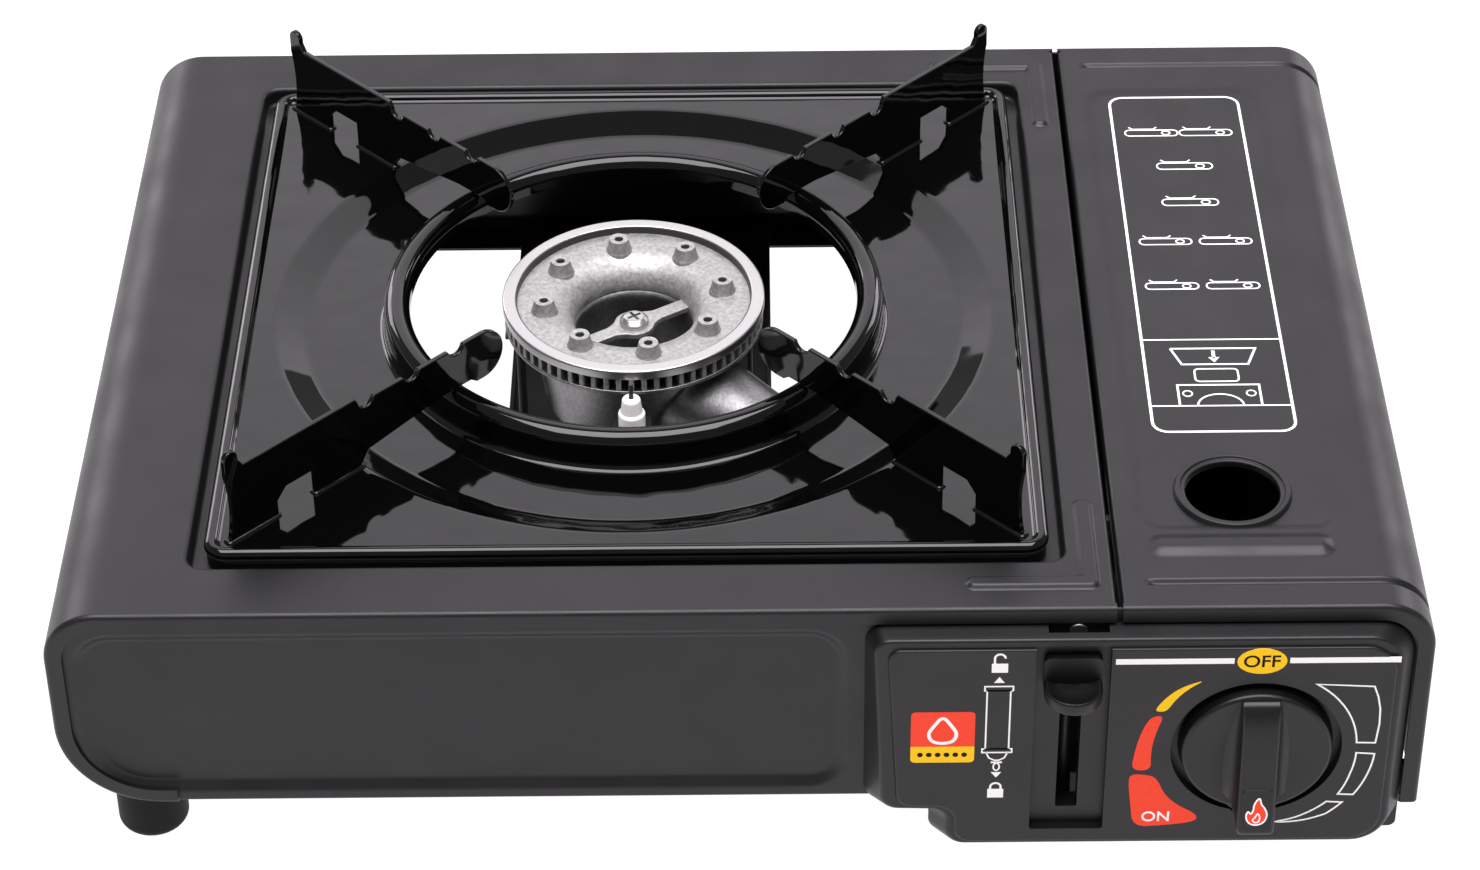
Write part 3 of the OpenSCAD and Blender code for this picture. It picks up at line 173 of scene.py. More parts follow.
def box_distance(x, y, box, radius):
    """Signed distance from a rounded rectangle, negative inside."""
    x0, y0, x1, y1 = box
    dx = abs(x - (x0 + x1) / 2) - (x1 - x0) / 2 + radius
    dy = abs(y - (y0 + y1) / 2) - (y1 - y0) / 2 + radius
    return math.hypot(max(dx, 0), max(dy, 0)) + min(max(dx, dy), 0) - radius


def ease(t):
    """A smooth step from 0 to 1."""
    t = min(max(t, 0), 1)
    return t * t * (3 - 2 * t)


# Meshes: a geometry is a pair of vertices in millimetres and faces

def loft(rings, closed=True, caps=False, loop=False):
    """Faces between rings of points; caps close both ends, and loop joins the last ring to the first."""
    count = len(rings[0])
    verts = [p for ring in rings for p in ring]
    faces = []
    for i in range(len(rings) if loop else len(rings) - 1):
        a = i * count
        b = (i + 1) % len(rings) * count
        for j in range(count if closed else count - 1):
            k = (j + 1) % count
            faces.append((a + j, a + k, b + k, b + j))
    if caps:
        faces.append(tuple(range(count))[::-1])
        faces.append(tuple(range(len(verts) - count, len(verts))))
    return verts, faces


def revolve(profile, count, closed=True, centre=(0, 0)):
    """A profile of (radius, z) turned about a vertical axis."""
    return loft([[(x, y, z) for x, y in disc(*centre, r, count)] for r, z in profile], loop=closed)


def prism(outline, y0, y1):
    """An outline in (x, z) run along Y."""
    return loft([[(x, y, z) for x, z in outline] for y in (y0, y1)], caps=True)


def tower(outline, z0, z1):
    """An outline in (x, y) run along Z."""
    return loft([[(x, y, z) for x, y in outline] for z in (z0, z1)], caps=True)


def joined(*parts):
    verts, faces = [], []
    for part_verts, part_faces in parts:
        base = len(verts)
        verts += list(part_verts)
        faces += [tuple(i + base for i in face) for face in part_faces]
    return verts, faces


def link(name, data):
    """A new object in the scene."""
    ob = bpy.data.objects.new(name, data)
    bpy.context.scene.collection.objects.link(ob)
    return ob


@contextmanager
def editing(ob):
    """A bmesh of the object's mesh, written back at the end."""
    bm = bmesh.new()
    bm.from_mesh(ob.data)
    yield bm
    bm.to_mesh(ob.data)
    bm.free()


def build(name, geometry):
    verts, faces = geometry
    mesh = bpy.data.meshes.new(name)
    mesh.from_pydata([tuple(float(c) * MM for c in v) for v in verts], [], faces)
    ob = link(name, mesh)
    clean(ob)
    return ob


def clean(ob, up=None):
    """Merges doubles and turns the faces outward, or so that the one farthest along up looks that way."""
    tie = 1e-3
    with editing(ob) as bm:
        bmesh.ops.remove_doubles(bm, verts=bm.verts, dist=MERGE * MM)
        bmesh.ops.recalc_face_normals(bm, faces=bm.faces)
        if up is not None:
            far = max(bm.faces, key=lambda f: f.calc_center_median().dot(up) + tie * f.calc_area())
            if far.normal.dot(up) < 0:
                bmesh.ops.reverse_faces(bm, faces=bm.faces)


def apply(ob):
    """Turns the object's modifiers into its mesh."""
    deps = bpy.context.evaluated_depsgraph_get()
    mesh = bpy.data.meshes.new_from_object(ob.evaluated_get(deps))
    ob.modifiers.clear()
    ob.data = mesh


def thicken(ob, depth, up):
    """Gives a sheet its thickness, away from up."""
    clean(ob, Vector(up))
    mod = ob.modifiers.new("thick", "SOLIDIFY")
    mod.thickness = depth * MM
    mod.offset = -1
    mod.use_even_offset = True
    apply(ob)


def cut(ob, geometry, operation="DIFFERENCE"):
    tool = build("cutter", geometry)
    mod = ob.modifiers.new("cut", "BOOLEAN")
    mod.operation = operation
    mod.object = tool
    mod.solver = "EXACT"
    apply(ob)
    bpy.data.objects.remove(tool)


def soften(ob, width, segments=2, limit=30.0, keep=None):
    """Rounds the edges that turn by more than limit degrees; keep(edge) may leave some of them out."""
    flat = 0.4
    with editing(ob) as bm:
        bmesh.ops.remove_doubles(bm, verts=bm.verts, dist=MERGE * MM)
        bmesh.ops.dissolve_limit(bm, angle_limit=math.radians(flat), verts=bm.verts, edges=bm.edges)
        sharp = []
        for e in bm.edges:
            if len(e.link_faces) != 2 or e.calc_face_angle() < math.radians(limit):
                continue
            if keep is None or keep(e):
                sharp.append(e)
        bmesh.ops.bevel(bm, geom=sharp, offset=width * MM, offset_type="OFFSET", segments=segments,
                        profile=0.5, affect="EDGES", clamp_overlap=True)


def shade(ob, limit):
    """Smooth faces, sharp edges past the limit, and normals that follow the larger faces."""
    with editing(ob) as bm:
        for f in bm.faces:
            f.smooth = True
        for e in bm.edges:
            e.smooth = len(e.link_faces) == 2 and e.calc_face_angle() < math.radians(limit)
    mod = ob.modifiers.new("weighted", "WEIGHTED_NORMAL")
    mod.keep_sharp = True
    apply(ob)


def paint(ob, mat):
    ob.data.materials.clear()
    ob.data.materials.append(mat)


def piece(ob, body, slot, *nodes, mat=None, limit=CREASE):
    """Finishes an object as a piece of a body, in its slot's look unless given another one."""
    shade(ob, limit)
    paint(ob, mat or SLOT_LOOK[slot])
    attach(ob, body)
    if nodes:
        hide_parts(*nodes)


def soft_copy(node, name, width, segments=2):
    """A copy of a CAD node with rounded edges."""
    ob = link(name, NODES[node].data.copy())
    clean(ob)
    soften(ob, width, segments)
    return ob


# Materials

LIGHT = (1.0, 0.96, 1.0)
WANDER_SPAN, MOTTLE_SPAN, MOTTLE_SCALE = (0.3, 0.7), (0.35, 0.65), 900.0
WAVE_REACH, BUMP_REACH, FINE = 1.0, 0.1, 4200.0


def material(name, colour, rough, metal=0.0, specular=0.5, glow=0.0, bump=0.0, grain=2500.0, wave=0.0,
             wave_scale=90.0, wander=0.0, wander_scale=60.0, mottle=0.0):
    """A procedural look: wave and bump tilt the surface, wander varies its gloss and mottle its colour."""
    mat = bpy.data.materials.new(name)
    mat.use_nodes = True
    nodes, links = mat.node_tree.nodes, mat.node_tree.links
    shader = nodes["Principled BSDF"]
    for socket, value in (("Base Color", (*colour, 1)), ("Roughness", rough), ("Metallic", metal),
                          ("Specular IOR Level", specular), ("Emission Color", (*LIGHT, 1)),
                          ("Emission Strength", glow)):
        shader.inputs[socket].default_value = value
    place = nodes.new("ShaderNodeTexCoord").outputs["Object"]

    def noise(scale, detail):
        node = nodes.new("ShaderNodeTexNoise")
        node.inputs["Scale"].default_value = scale
        node.inputs["Detail"].default_value = detail
        links.new(place, node.inputs["Vector"])
        return node.outputs["Fac"]

    last = None
    reliefs = ((wave, wave_scale, 1.0, WAVE_REACH), (bump, grain, 3.0, BUMP_REACH))
    for strength, scale, detail, reach in reliefs:
        if strength <= 0:
            continue
        node = nodes.new("ShaderNodeBump")
        node.inputs["Strength"].default_value = strength
        node.inputs["Distance"].default_value = reach * MM
        links.new(noise(scale, detail), node.inputs["Height"])
        if last is not None:
            links.new(last, node.inputs["Normal"])
        last = node.outputs["Normal"]
    if last is not None:
        links.new(last, shader.inputs["Normal"])
    if wander > 0:
        ramp = nodes.new("ShaderNodeMapRange")
        for end, at, level in zip(("Min", "Max"), WANDER_SPAN, (rough - wander, rough + wander)):
            ramp.inputs["From " + end].default_value = at
            ramp.inputs["To " + end].default_value = level
        links.new(noise(wander_scale, 4.0), ramp.inputs["Value"])
        links.new(ramp.outputs["Result"], shader.inputs["Roughness"])
    if mottle > 0:
        tones = nodes.new("ShaderNodeValToRGB")
        for stop, at, level in zip(tones.color_ramp.elements, MOTTLE_SPAN, (1 - mottle, 1 + mottle)):
            stop.position = at
            stop.color = (*(min(c * level, 1) for c in colour), 1)
        links.new(noise(MOTTLE_SCALE, 3.0), tones.inputs["Fac"])
        links.new(tones.outputs["Color"], shader.inputs["Base Color"])
    return mat


def printed(name, colour, rough=0.5, specular=0.2, mottle=0.0):
    """Print on a flat face."""
    return material(name, colour, rough, specular=specular, bump=0.15, grain=FINE, mottle=mottle)


PAINT = material("case_powder_coat", (0.005, 0.0047, 0.0052), 0.42, specular=0.42, bump=0.35, grain=3200.0,
                 wander=0.05)
PANEL = material("panel_plastic", (0.004, 0.0038, 0.0042), 0.42, specular=0.42, bump=0.25, grain=FINE,
                 wander=0.04)
KNOB = material("knob_plastic", (0.003, 0.0029, 0.0031), 0.38, specular=0.4, bump=0.15, grain=FINE,
                wander=0.04)
ENAMEL = material("black_enamel", (0.001, 0.001, 0.0011), 0.05, specular=0.42, wave=0.25, wave_scale=75.0)
CAST = material("cast_face", (0.42, 0.42, 0.415), 0.6, metal=1.0, bump=1.0, grain=1300.0, wander=0.1,
                wander_scale=300.0, mottle=0.16)
RIM = material("machined_rim", (0.5, 0.5, 0.495), 0.32, metal=1.0, bump=0.1)
BOWL = material("cast_bowl", (0.24, 0.24, 0.24), 0.42, metal=1.0, bump=0.4, grain=1500.0, wander=0.06,
                mottle=0.15)
ZINC = material("zinc_casting", (0.42, 0.42, 0.42), 0.4, metal=1.0, bump=0.4, grain=1500.0)
PLATED = material("plated_steel", (0.45, 0.45, 0.445), 0.33, metal=1.0, wander=0.06)
# Dark steel, also laid on other parts as painted shade
DARK_STEEL_AND_SHADE = material("dark_steel", (0.015, 0.015, 0.0155), 0.42, bump=0.2)
PIPE = material("drawn_tube", (0.66, 0.66, 0.65), 0.26, metal=1.0, wander=0.05)
BRASS = material("turned_brass", (0.72, 0.53, 0.22), 0.24, metal=1.0, wander=0.05)
CERAMIC = material("glazed_ceramic", (0.94, 0.93, 0.91), 0.22, wave=0.05)
PIEZO = material("moulded_plastic", (0.74, 0.72, 0.66), 0.45, bump=0.1)
RUBBER = material("rubber", (0.003, 0.003, 0.003), 0.6, specular=0.2, bump=0.3)
WHITE = printed("white_ink", (0.93, 0.93, 0.92), specular=0.3)
RED = printed("red_ink", (0.93, 0.06, 0.022), mottle=0.03)
YELLOW = printed("yellow_ink", (0.97, 0.58, 0.004), mottle=0.03)
# Black print, also used as painted shade in the burner posts' holes and behind the flame slots
BLACK_INK_AND_SHADE = printed("black_ink_and_shade", (0.004, 0.004, 0.004), 0.6, 0.15)
GROUND = material("pale_floor", (0.12, 0.12, 0.12), 0.9, specular=0.1, glow=1.04)

SLOT_LOOK = {
    "case_paint": PAINT, "panel_plastic": PANEL, "knob_plastic": KNOB, "inlay": KNOB, "enamel": ENAMEL,
    "burner_casting": CAST, "zinc_casting": ZINC, "plated_steel": PLATED, "dark_steel": DARK_STEEL_AND_SHADE,
    "pipe_metal": PIPE, "brass": BRASS, "ceramic": CERAMIC, "piezo_plastic": PIEZO, "rubber": RUBBER,
}
for node_name, node_object in NODES.items():
    paint(node_object, SLOT_LOOK[SLOT_OF[node_name]])
# Painted shade: the hinge pins, the igniter's electrode and the lever's rod get the dark steel look for the
# shadow they sit in
for node_name in ("hinge_pins", "igniter_electrode", "lever_rod"):
    paint(NODES[node_name], DARK_STEEL_AND_SHADE)


# Case: wrapped sheet with inturned lips at both ends

FOLD_SEG, CORNER_SEG, WELL_SEG, STRAIGHT = 6, 20, 8, 0.1
LEDGE_BEND, LEAST_BEND = 1.2, 0.4
ENDS = [PANEL_BACK + GAP, REAR_IN - GAP]


def end_profile(stations):
    """Pairs of depth below the outer face and Y, from the front lip's inner edge to the rear lip's."""
    front = rounded([(LIP, FRONT), (0, FRONT), (0, FRONT + FOLD + STRAIGHT)], [0, FOLD, 0], FOLD_SEG)
    rear = rounded([(0, BACK - FOLD - STRAIGHT), (0, BACK), (LIP, BACK)], [0, FOLD, 0], FOLD_SEG)
    return front + [(0, y) for y in stations] + rear


def wrapped(path, profile, sink=None):
    """Sheet that follows a path in (x, z) and folds in at both ends; sink presses it inward."""
    inward = right_normals(path)
    rings = []
    for depth, y in profile:
        ring = []
        for (x, z), (nx, nz) in zip(path, inward):
            deep = depth + (sink(x, y, z) if sink else 0)
            ring.append((x + nx * deep, y, z + nz * deep))
        rings.append(ring)
    return loft(rings, closed=False)


def split_edge(x_end, x_fold, profile):
    """The sheet's edge beside the lid split: flat at both ends, folded down between the panels."""
    first, last = ENDS

    def level(rows):
        return loft([[(x_fold, y, TOP - depth), (x_end, y, TOP - depth)] for depth, y in rows], closed=False)

    fold = rounded([(x_fold, TOP), (x_end, TOP), (x_end, EDGE_LOW)], [0, FOLD, 0], FOLD_SEG)
    folded = [[(x, y, z) for x, z in fold] for _, y in profile if first - SAME <= y <= last + SAME]
    return joined(level([row for row in profile if row[1] <= first + SAME]), loft(folded, closed=False),
                  level([row for row in profile if row[1] >= last - SAME]))


def square(half, radius):
    """A rounded square round the burner's axis."""
    box = (WELL_X - half, MID_Y - half, WELL_X + half, MID_Y + half)
    return rect_points(*box, max(radius, LEAST_BEND), WELL_SEG)


shell_path = rounded([(RETURN_X, FLOOR), (LEFT, FLOOR), (LEFT, TOP), (TOP_END - FOLD, TOP)],
                     [0, CASE_LOW_R, CASE_R, 0], CORNER_SEG)
shell_profile = end_profile(ENDS)
shell = build("case_shell", joined(wrapped(shell_path, shell_profile),
                                   split_edge(TOP_END, TOP_END - FOLD, shell_profile)))
thicken(shell, SHEET, UP)
cut(shell, tower(square(WELL_HALF + FOLD, WELL_R + FOLD), LEDGE_Z - OVER, TOP + OVER))
piece(shell, "case", "case_paint", "body_shell")

flange_path = rounded([(WELL_HALF + FOLD, TOP), (WELL_HALF, TOP), (WELL_HALF, LEDGE_Z),
                       (WELL_HALF - LEDGE_W, LEDGE_Z)], [0, FOLD, LEDGE_BEND, 0], FOLD_SEG)
flange = build("well_flange", loft([[(x, y, z) for x, y in square(half, WELL_R + half - WELL_HALF)]
                                    for half, z in flange_path]))
thicken(flange, SHEET, UP)
piece(flange, "case", "case_paint")


# Ribs in the corners beside the lid

EMBOSS_T, EMBOSS_SINK = 0.5, 0.04
RIB_EDGE, RIB_W, RIB_H, RIB_R, RIB_SLOPE, RIB_STEP = TOP_END - 4, 4.0, 1.1, 1.8, 1.5, 0.35
RIB_SET, RIB_LONG, RIB_SHORT = 8.0, 42.0, 32.0


def emboss(box, step, height, slope, distance):
    """A raised pressing on the top: the part of a height field that stands above the sheet."""
    x0, y0, x1, y1 = box
    xs = np.arange(x0 - slope, x1 + slope + step, step)
    ys = np.arange(y0 - slope, y1 + slope + step, step)
    rise = [[height * ease((slope / 2 - distance(x, y)) / slope) for x in xs] for y in ys]
    verts = []
    for y, row in zip(ys, rise):
        verts += [(x, y, TOP + (lift if lift > 0 else -EMBOSS_SINK)) for x, lift in zip(xs, row)]
    faces = []
    for j in range(len(ys) - 1):
        for i in range(len(xs) - 1):
            if max(rise[j][i], rise[j][i + 1], rise[j + 1][i], rise[j + 1][i + 1]) > 0:
                a = j * len(xs) + i
                faces.append((a, a + 1, a + 1 + len(xs), a + len(xs)))
    return verts, faces


def corner_rib(end, inward):
    """An L-shaped rib with one leg along the split and one along an end of the case."""
    near, wide, far = (end + inward * reach for reach in (RIB_SET, RIB_SET + RIB_W, RIB_LONG))
    leg = (RIB_EDGE - RIB_W, min(near, far), RIB_EDGE, max(near, far))
    foot = (RIB_EDGE - RIB_SHORT, min(near, wide), RIB_EDGE, max(near, wide))

    def distance(x, y):
        return min(box_distance(x, y, leg, RIB_R), box_distance(x, y, foot, RIB_R))

    return emboss((foot[0], leg[1], RIB_EDGE, leg[3]), RIB_STEP, RIB_H, RIB_SLOPE, distance)


ribs = build("case_ribs", joined(corner_rib(FRONT, 1), corner_rib(BACK, -1)))
thicken(ribs, EMBOSS_T, UP)
piece(ribs, "case", "case_paint")


# Front and rear panels with their pressed recess

RECESS = (LEFT + LIP + 3.5, FLOOR + 4.5, 25.5, TOP - 8.5)
RECESS_R, RECESS_LOW_R, RECESS_DEPTH, RECESS_SLOPE, RECESS_STEPS = 8.5, 15.5, 1.8, 3.8, 10
PANEL_BENDS = [CASE_LOW_R - SHEET - GAP, 0, 0, 2, LID_R - LIP / 2, CASE_R - SHEET - GAP]
PANEL_SEG, FLANGE_SEG, FLANGE_W = 10, 5, 12.0
SLOT_LOW, SLOT_HIGH, SLOT_HALF = 16.0, 64.0, 2.7
KNOB_WELL_R, KNOB_HOLE_SIDES = KNOB_R + 2.0, 48


def fill_between(name, outer, inner_rings, y_sign):
    """A flat outline with a pressed recess: rings of (points, y), from the rim to the floor."""
    bm = bmesh.new()

    def add(points, y):
        return [bm.verts.new((x * MM, y * MM, z * MM)) for x, z in points]

    def edge_loop(ring):
        return [bm.edges.new((a, b)) for a, b in zip(ring, ring[1:] + ring[:1])]

    rings = [add(points, y) for points, y in inner_rings]
    border = edge_loop(add(outer, inner_rings[0][1])) + edge_loop(rings[0])
    bmesh.ops.triangle_fill(bm, edges=border, use_beauty=True, normal=(0, y_sign, 0))
    for a, b in zip(rings, rings[1:]):
        for j in range(len(a)):
            k = (j + 1) % len(a)
            bm.faces.new((a[j], a[k], b[k], b[j]))
    bm.faces.new(rings[-1])
    mesh = bpy.data.meshes.new(name)
    bm.to_mesh(mesh)
    bm.free()
    return link(name, mesh)


def recess_rings(out, inward):
    """Rings down the recess's slope, with one more beyond each end of it."""
    x0, z0, x1, z1 = RECESS
    rings = []
    for k in range(-1, RECESS_STEPS + 2):
        share = k / RECESS_STEPS
        inset = (share - 0.5) * RECESS_SLOPE
        bends = [RECESS_LOW_R - inset] + [RECESS_R - inset] * 3
        outline = box_outline(x0 + inset, z0 + inset, x1 - inset, z1 - inset)
        rings.append((rounded(outline, bends, PANEL_SEG, True), out + inward * RECESS_DEPTH * ease(share)))
    return rings


def end_panel(name, out, inward, node):
    """One end of the case, with the flange below it."""
    outline = rounded([(PANEL_LEFT, PANEL_LOW), (TRAY_X, PANEL_LOW), (TRAY_X, BAY_FLOOR),
                       (PANEL_RIGHT, BAY_FLOOR), (PANEL_RIGHT, PANEL_TOP), (PANEL_LEFT, PANEL_TOP)],
                      PANEL_BENDS, PANEL_SEG, True)
    ob = fill_between(name, outline, recess_rings(out, inward), -inward)
    thicken(ob, SHEET, (0, -inward, 0))
    if node == "front_panel":
        slot = box_outline(LEVER_X - 2 * SLOT_HALF, SLOT_LOW, LEVER_X + 2 * SLOT_HALF, SLOT_HIGH)
        for opening in (slot, disc(KNOB_X, KNOB_Z, KNOB_WELL_R + 2, KNOB_HOLE_SIDES)):
            cut(ob, prism(opening, out - OVER, out + 2 * OVER))
    fold = rounded([(out, PANEL_LOW), (out, FLOOR), (out + inward * FLANGE_W, FLOOR)], [0, SHEET, 0],
                   FLANGE_SEG)
    ends = (RETURN_X + GAP, TRAY_X - GAP)
    strip = build(name + "_flange", loft([[(x, y, z) for y, z in fold] for x in ends], closed=False))
    thicken(strip, SHEET, (0, -inward, 0))
    piece(strip, "case", "case_paint")
    piece(ob, "case", "case_paint", node)


end_panel("front_panel_sheet", PANEL_FRONT, 1, "front_panel")
end_panel("rear_panel_sheet", REAR_OUT, -1, "rear_panel")


# Canister lid

GROOVES, GROOVE_DEPTH, GROOVE_HALF = (FRONT + 10.2, BACK - 10.2), 1.1, 1.5
GROOVE_START, GROOVE_RUN = 100.0, 2.0
FIELD, FIELD_R, LABEL_SINK, LABEL_SLOPE = (101.0, -88.0, 150.0, 112.0), 6.0, 0.7, 4.0
TOP_STEP, SIDE_STEP, RING_SIDES, RING_SEAT = 1.0, 8.0, 96, 1.0
LID_RUN, GROOVE_STATIONS, FIELD_STATIONS, FIELD_INSET = range(-105, 122, 3), (9, 0.25), (5, 1.0), 0.5
FINGER_RING = [(3.1, -0.6), (2.5, 0.6), (1.4, 0.6), (1.1, 0), (0, 0), (0, -2.0), (0.8, -2.0), (0.8, -1.4),
               (3.1, -1.2)]
FINGER_BENDS = [0.2, 0.45, 0.35, 0.25, 0.6, 0.3, 0.2, 0.2, 0.2]
LID_BAR = (HOLE_X - 22, HOLE_Y - 25, HOLE_X + 22, HOLE_Y - 19)
LID_BAR_R, LID_BAR_H, LID_BAR_SLOPE, LID_BAR_STEP = 2.6, 1.3, 4.2, 0.4


def lid_sink(x, y, z):
    """Depth of the two grooves and of the label's sunken field."""
    deep = 0.0
    for centre in GROOVES:
        across, along = 1 - abs(y - centre) / GROOVE_HALF, (x - GROOVE_START) / GROOVE_RUN
        deep += GROOVE_DEPTH * ease(across) * ease(along)
    if z > TOP - SAME:
        deep += LABEL_SINK * ease(0.5 - box_distance(x, y, FIELD, FIELD_R) / LABEL_SLOPE)
    return deep


def spread(centre, count, step):
    """Stations on both sides of a centre."""
    return [round(centre + k * step, 3) for k in range(-count, count + 1)]


lid_stations = ENDS + [float(y) for y in LID_RUN]
for groove in GROOVES:
    lid_stations += spread(groove, *GROOVE_STATIONS)
for edge in (FIELD[1] + FIELD_INSET, FIELD[3] - FIELD_INSET):
    lid_stations += spread(edge, *FIELD_STATIONS)
lid_profile = end_profile([y for y in sorted(set(lid_stations)) if ENDS[0] <= y <= ENDS[1]])
lid_path = rounded([(LID_X + FOLD, TOP), (RIGHT, TOP), (RIGHT, LID_LOW)], [0, LID_R, 0], CORNER_SEG)
lid_path = dense(lid_path[:2], TOP_STEP) + lid_path[2:-1] + dense(lid_path[-2:], SIDE_STEP)[1:]
lid = build("lid_shell", joined(wrapped(lid_path, lid_profile, lid_sink),
                                split_edge(LID_X, LID_X + FOLD, lid_profile)))
thicken(lid, SHEET, UP)
cut(lid, tower(disc(HOLE_X, HOLE_Y, HOLE_R + RING_SEAT, RING_SIDES), TOP - 2 * OVER, TOP + 2 * OVER))
piece(lid, "lid", "case_paint", "canister_lid")

ring_points = [(HOLE_R + out, TOP + rise) for out, rise in FINGER_RING]
ring_profile = rounded(ring_points, FINGER_BENDS, FOLD_SEG, True)
ring = build("finger_ring", revolve(ring_profile, RING_SIDES, centre=(HOLE_X, HOLE_Y)))
piece(ring, "lid", "case_paint")

bar = build("lid_bar", emboss(LID_BAR, LID_BAR_STEP, LID_BAR_H, LID_BAR_SLOPE,
                              lambda x, y: box_distance(x, y, LID_BAR, LID_BAR_R)))
thicken(bar, EMBOSS_T, UP)
piece(bar, "lid", "case_paint")


# Control panel: corners of its foot, from the lower left one on, and how far they draw in towards its face

STEP_X, STEP_Z = BASE_LEFT + 16.6, BASE_LOW + 11.3
BASE = [(BASE_LEFT, STEP_Z), (STEP_X, STEP_Z), (STEP_X, BASE_LOW), (BASE_RIGHT, BASE_LOW),
        (BASE_RIGHT, BASE_TOP), (BASE_LEFT, BASE_TOP)]
INWARD = [(1, 1), (1, 1), (1, 1), (-1, 1), (-1, -1), (1, -1)]
DRAFT = [(5.4, 2.3), (5.2, 1.7), (5.2, 1.2), (4.1, 1.2), (4.1, 0.6), (2.4, 0.6)]
BASE_RADII = [4.9, 4.4, 4.4, 9.8, 9.8, 4.9]
FACE_RADII = [4.2, 4.4, 4.6, 9.0, 9.0, 4.0]
LEDGE = [(2.4, 0.6), (0.6, 0.6), (0.6, 0.6), (0.6, 0.6), (0.6, 1.6), (2.4, 1.6)]
LEDGE_DROP, LEDGE_ROUND, FACE_ROUND, SIDE_Y = 0.8, 0.8, 0.4, FACE_Y + 4.7
HOLLOW_CORNER, LEAST_CORNER, CORNER_STEPS, ROUND_STEPS = 1, 0.5, 8, 5
BAY = (LEVER_X - 9.25, 10.5, LEVER_X + 9.25, 70.5)
BAY_R, SLOT_R, SPINDLE_R, KNOB_SIDES = 0.8, 0.4, 6.0, 128
SCREW_NOTCH, NOTCH_FRONT = (LEVER_X - 6.2, 68.5, LEVER_X + 8.8, 75.0), FACE_Y + 3.5
MOUTH_ROUND, MOUTH_CREASE, PANEL_CREASE = 0.35, 60, 32


def between(a, b, share):
    return a + (b - a) * share


def panel_ring(y, inset, ledge):
    """The panel's outline at one depth; ledge is the share of the step that lies outside it."""
    t = (PANEL_FRONT - y) / (PANEL_FRONT - FACE_Y)
    points, radii = [], []
    for i, base in enumerate(BASE):
        runs = [t * draft + inset + ledge * step for draft, step in zip(DRAFT[i], LEDGE[i])]
        points.append([at + way * run for at, way, run in zip(base, INWARD[i], runs)])
        bend = between(BASE_RADII[i], FACE_RADII[i], t)
        radii.append(bend + inset if i == HOLLOW_CORNER else max(bend - inset, LEAST_CORNER))
    return [(x, y, z) for x, z in rounded(points, radii, CORNER_STEPS, True)]


def edge_round(y, size):
    """Depth and inset along a rounded edge whose flat lies at y."""
    return [(y + size * (1 - s), size * (1 - c)) for c, s in arc(0, 0, 1, 0, math.pi / 2, ROUND_STEPS)]


panel_rings = [panel_ring(y, 0, 0) for y in (PANEL_FRONT, SIDE_Y)]
panel_rings += [panel_ring(y, inset, 0) for y, inset in edge_round(FACE_Y + LEDGE_DROP, LEDGE_ROUND)]
panel_rings.append(panel_ring(FACE_Y + LEDGE_DROP, LEDGE_ROUND, 1))
panel_rings += [panel_ring(y, LEDGE_ROUND + inset, 1) for y, inset in edge_round(FACE_Y, FACE_ROUND)]
panel = build("control_panel_body", loft(panel_rings, caps=True))
for opening, y0, y1 in (
        (rect_points(*BAY, BAY_R, 4), FACE_Y - OVER, LEVER_FLOOR),
        (rect_points(LEVER_X - SLOT_HALF, SLOT_LOW, LEVER_X + SLOT_HALF, SLOT_HIGH, SLOT_R, 3),
         LEVER_FLOOR - OVER, PANEL_FRONT + OVER),
        (disc(KNOB_X, KNOB_Z, KNOB_WELL_R, KNOB_SIDES), FACE_Y - OVER, KNOB_FLOOR),
        (disc(KNOB_X, KNOB_Z, SPINDLE_R, KNOB_SIDES), FACE_Y - OVER, PANEL_FRONT + OVER),
        (box_outline(*SCREW_NOTCH), NOTCH_FRONT, PANEL_FRONT + OVER)):
    cut(panel, prism(opening, y0, y1))


def at_face(v, slack):
    return abs(v.co.y / MM - FACE_Y) < slack


soften(panel, MOUTH_ROUND, 3, MOUTH_CREASE, lambda e: all(at_face(v, SAME) for v in e.verts))
with editing(panel) as bm:
    # The flat face is filled anew, so that its triangles are even
    flat = {f for f in bm.faces if all(at_face(v, MERGE) for v in f.verts)}
    border = [e for e in bm.edges if sum(f in flat for f in e.link_faces) == 1]
    inner = [e for e in bm.edges if e.link_faces and all(f in flat for f in e.link_faces)]
    bmesh.ops.delete(bm, geom=list(flat), context="FACES_ONLY")
    bmesh.ops.delete(bm, geom=inner, context="EDGES")
    bmesh.ops.triangle_fill(bm, edges=border, use_beauty=True, normal=OUT)
    bmesh.ops.recalc_face_normals(bm, faces=bm.faces)
piece(panel, "case", "panel_plastic", "control_panel", limit=PANEL_CREASE)


# Printed shapes

FILM_T, PRINT_LIFT, OVERPRINT_LIFT, PICTURE_LIFT, WORD_LIFT = 0.15, 0.05, 0.07, 0.09, 0.1
WORD_WEIGHT = 0.012


def lay_film(ob, body, mat, way):
    """Turns a flat print to look along way and gives it a closed body below its face."""
    with editing(ob) as bm:
        for f in bm.faces:
            if f.normal.dot(way) < 0:
                f.normal_flip()
    mod = ob.modifiers.new("film", "SOLIDIFY")
    mod.thickness = FILM_T * MM
    mod.offset = -1
    apply(ob)
    paint(ob, mat)
    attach(ob, body)


def print_on(name, outlines, body, mat, place, way):
    """Flat printed shapes: place turns (u, v) into a point on the surface."""
    ob = build(name, joined(*(([place(u, v) for u, v in outline], [tuple(range(len(outline)))])
                              for outline in outlines)))
    with editing(ob) as bm:
        bmesh.ops.triangulate(bm, faces=bm.faces)
    lay_film(ob, body, mat, way)


def panel_print(name, outlines, mat, lift=PRINT_LIFT, at=(0, 0)):
    """Print on the control panel; at is the outlines' own centre."""
    print_on(name, outlines, "case", mat,
             lambda u, v: (at[0] + u, FACE_Y - lift, at[1] + v), OUT)


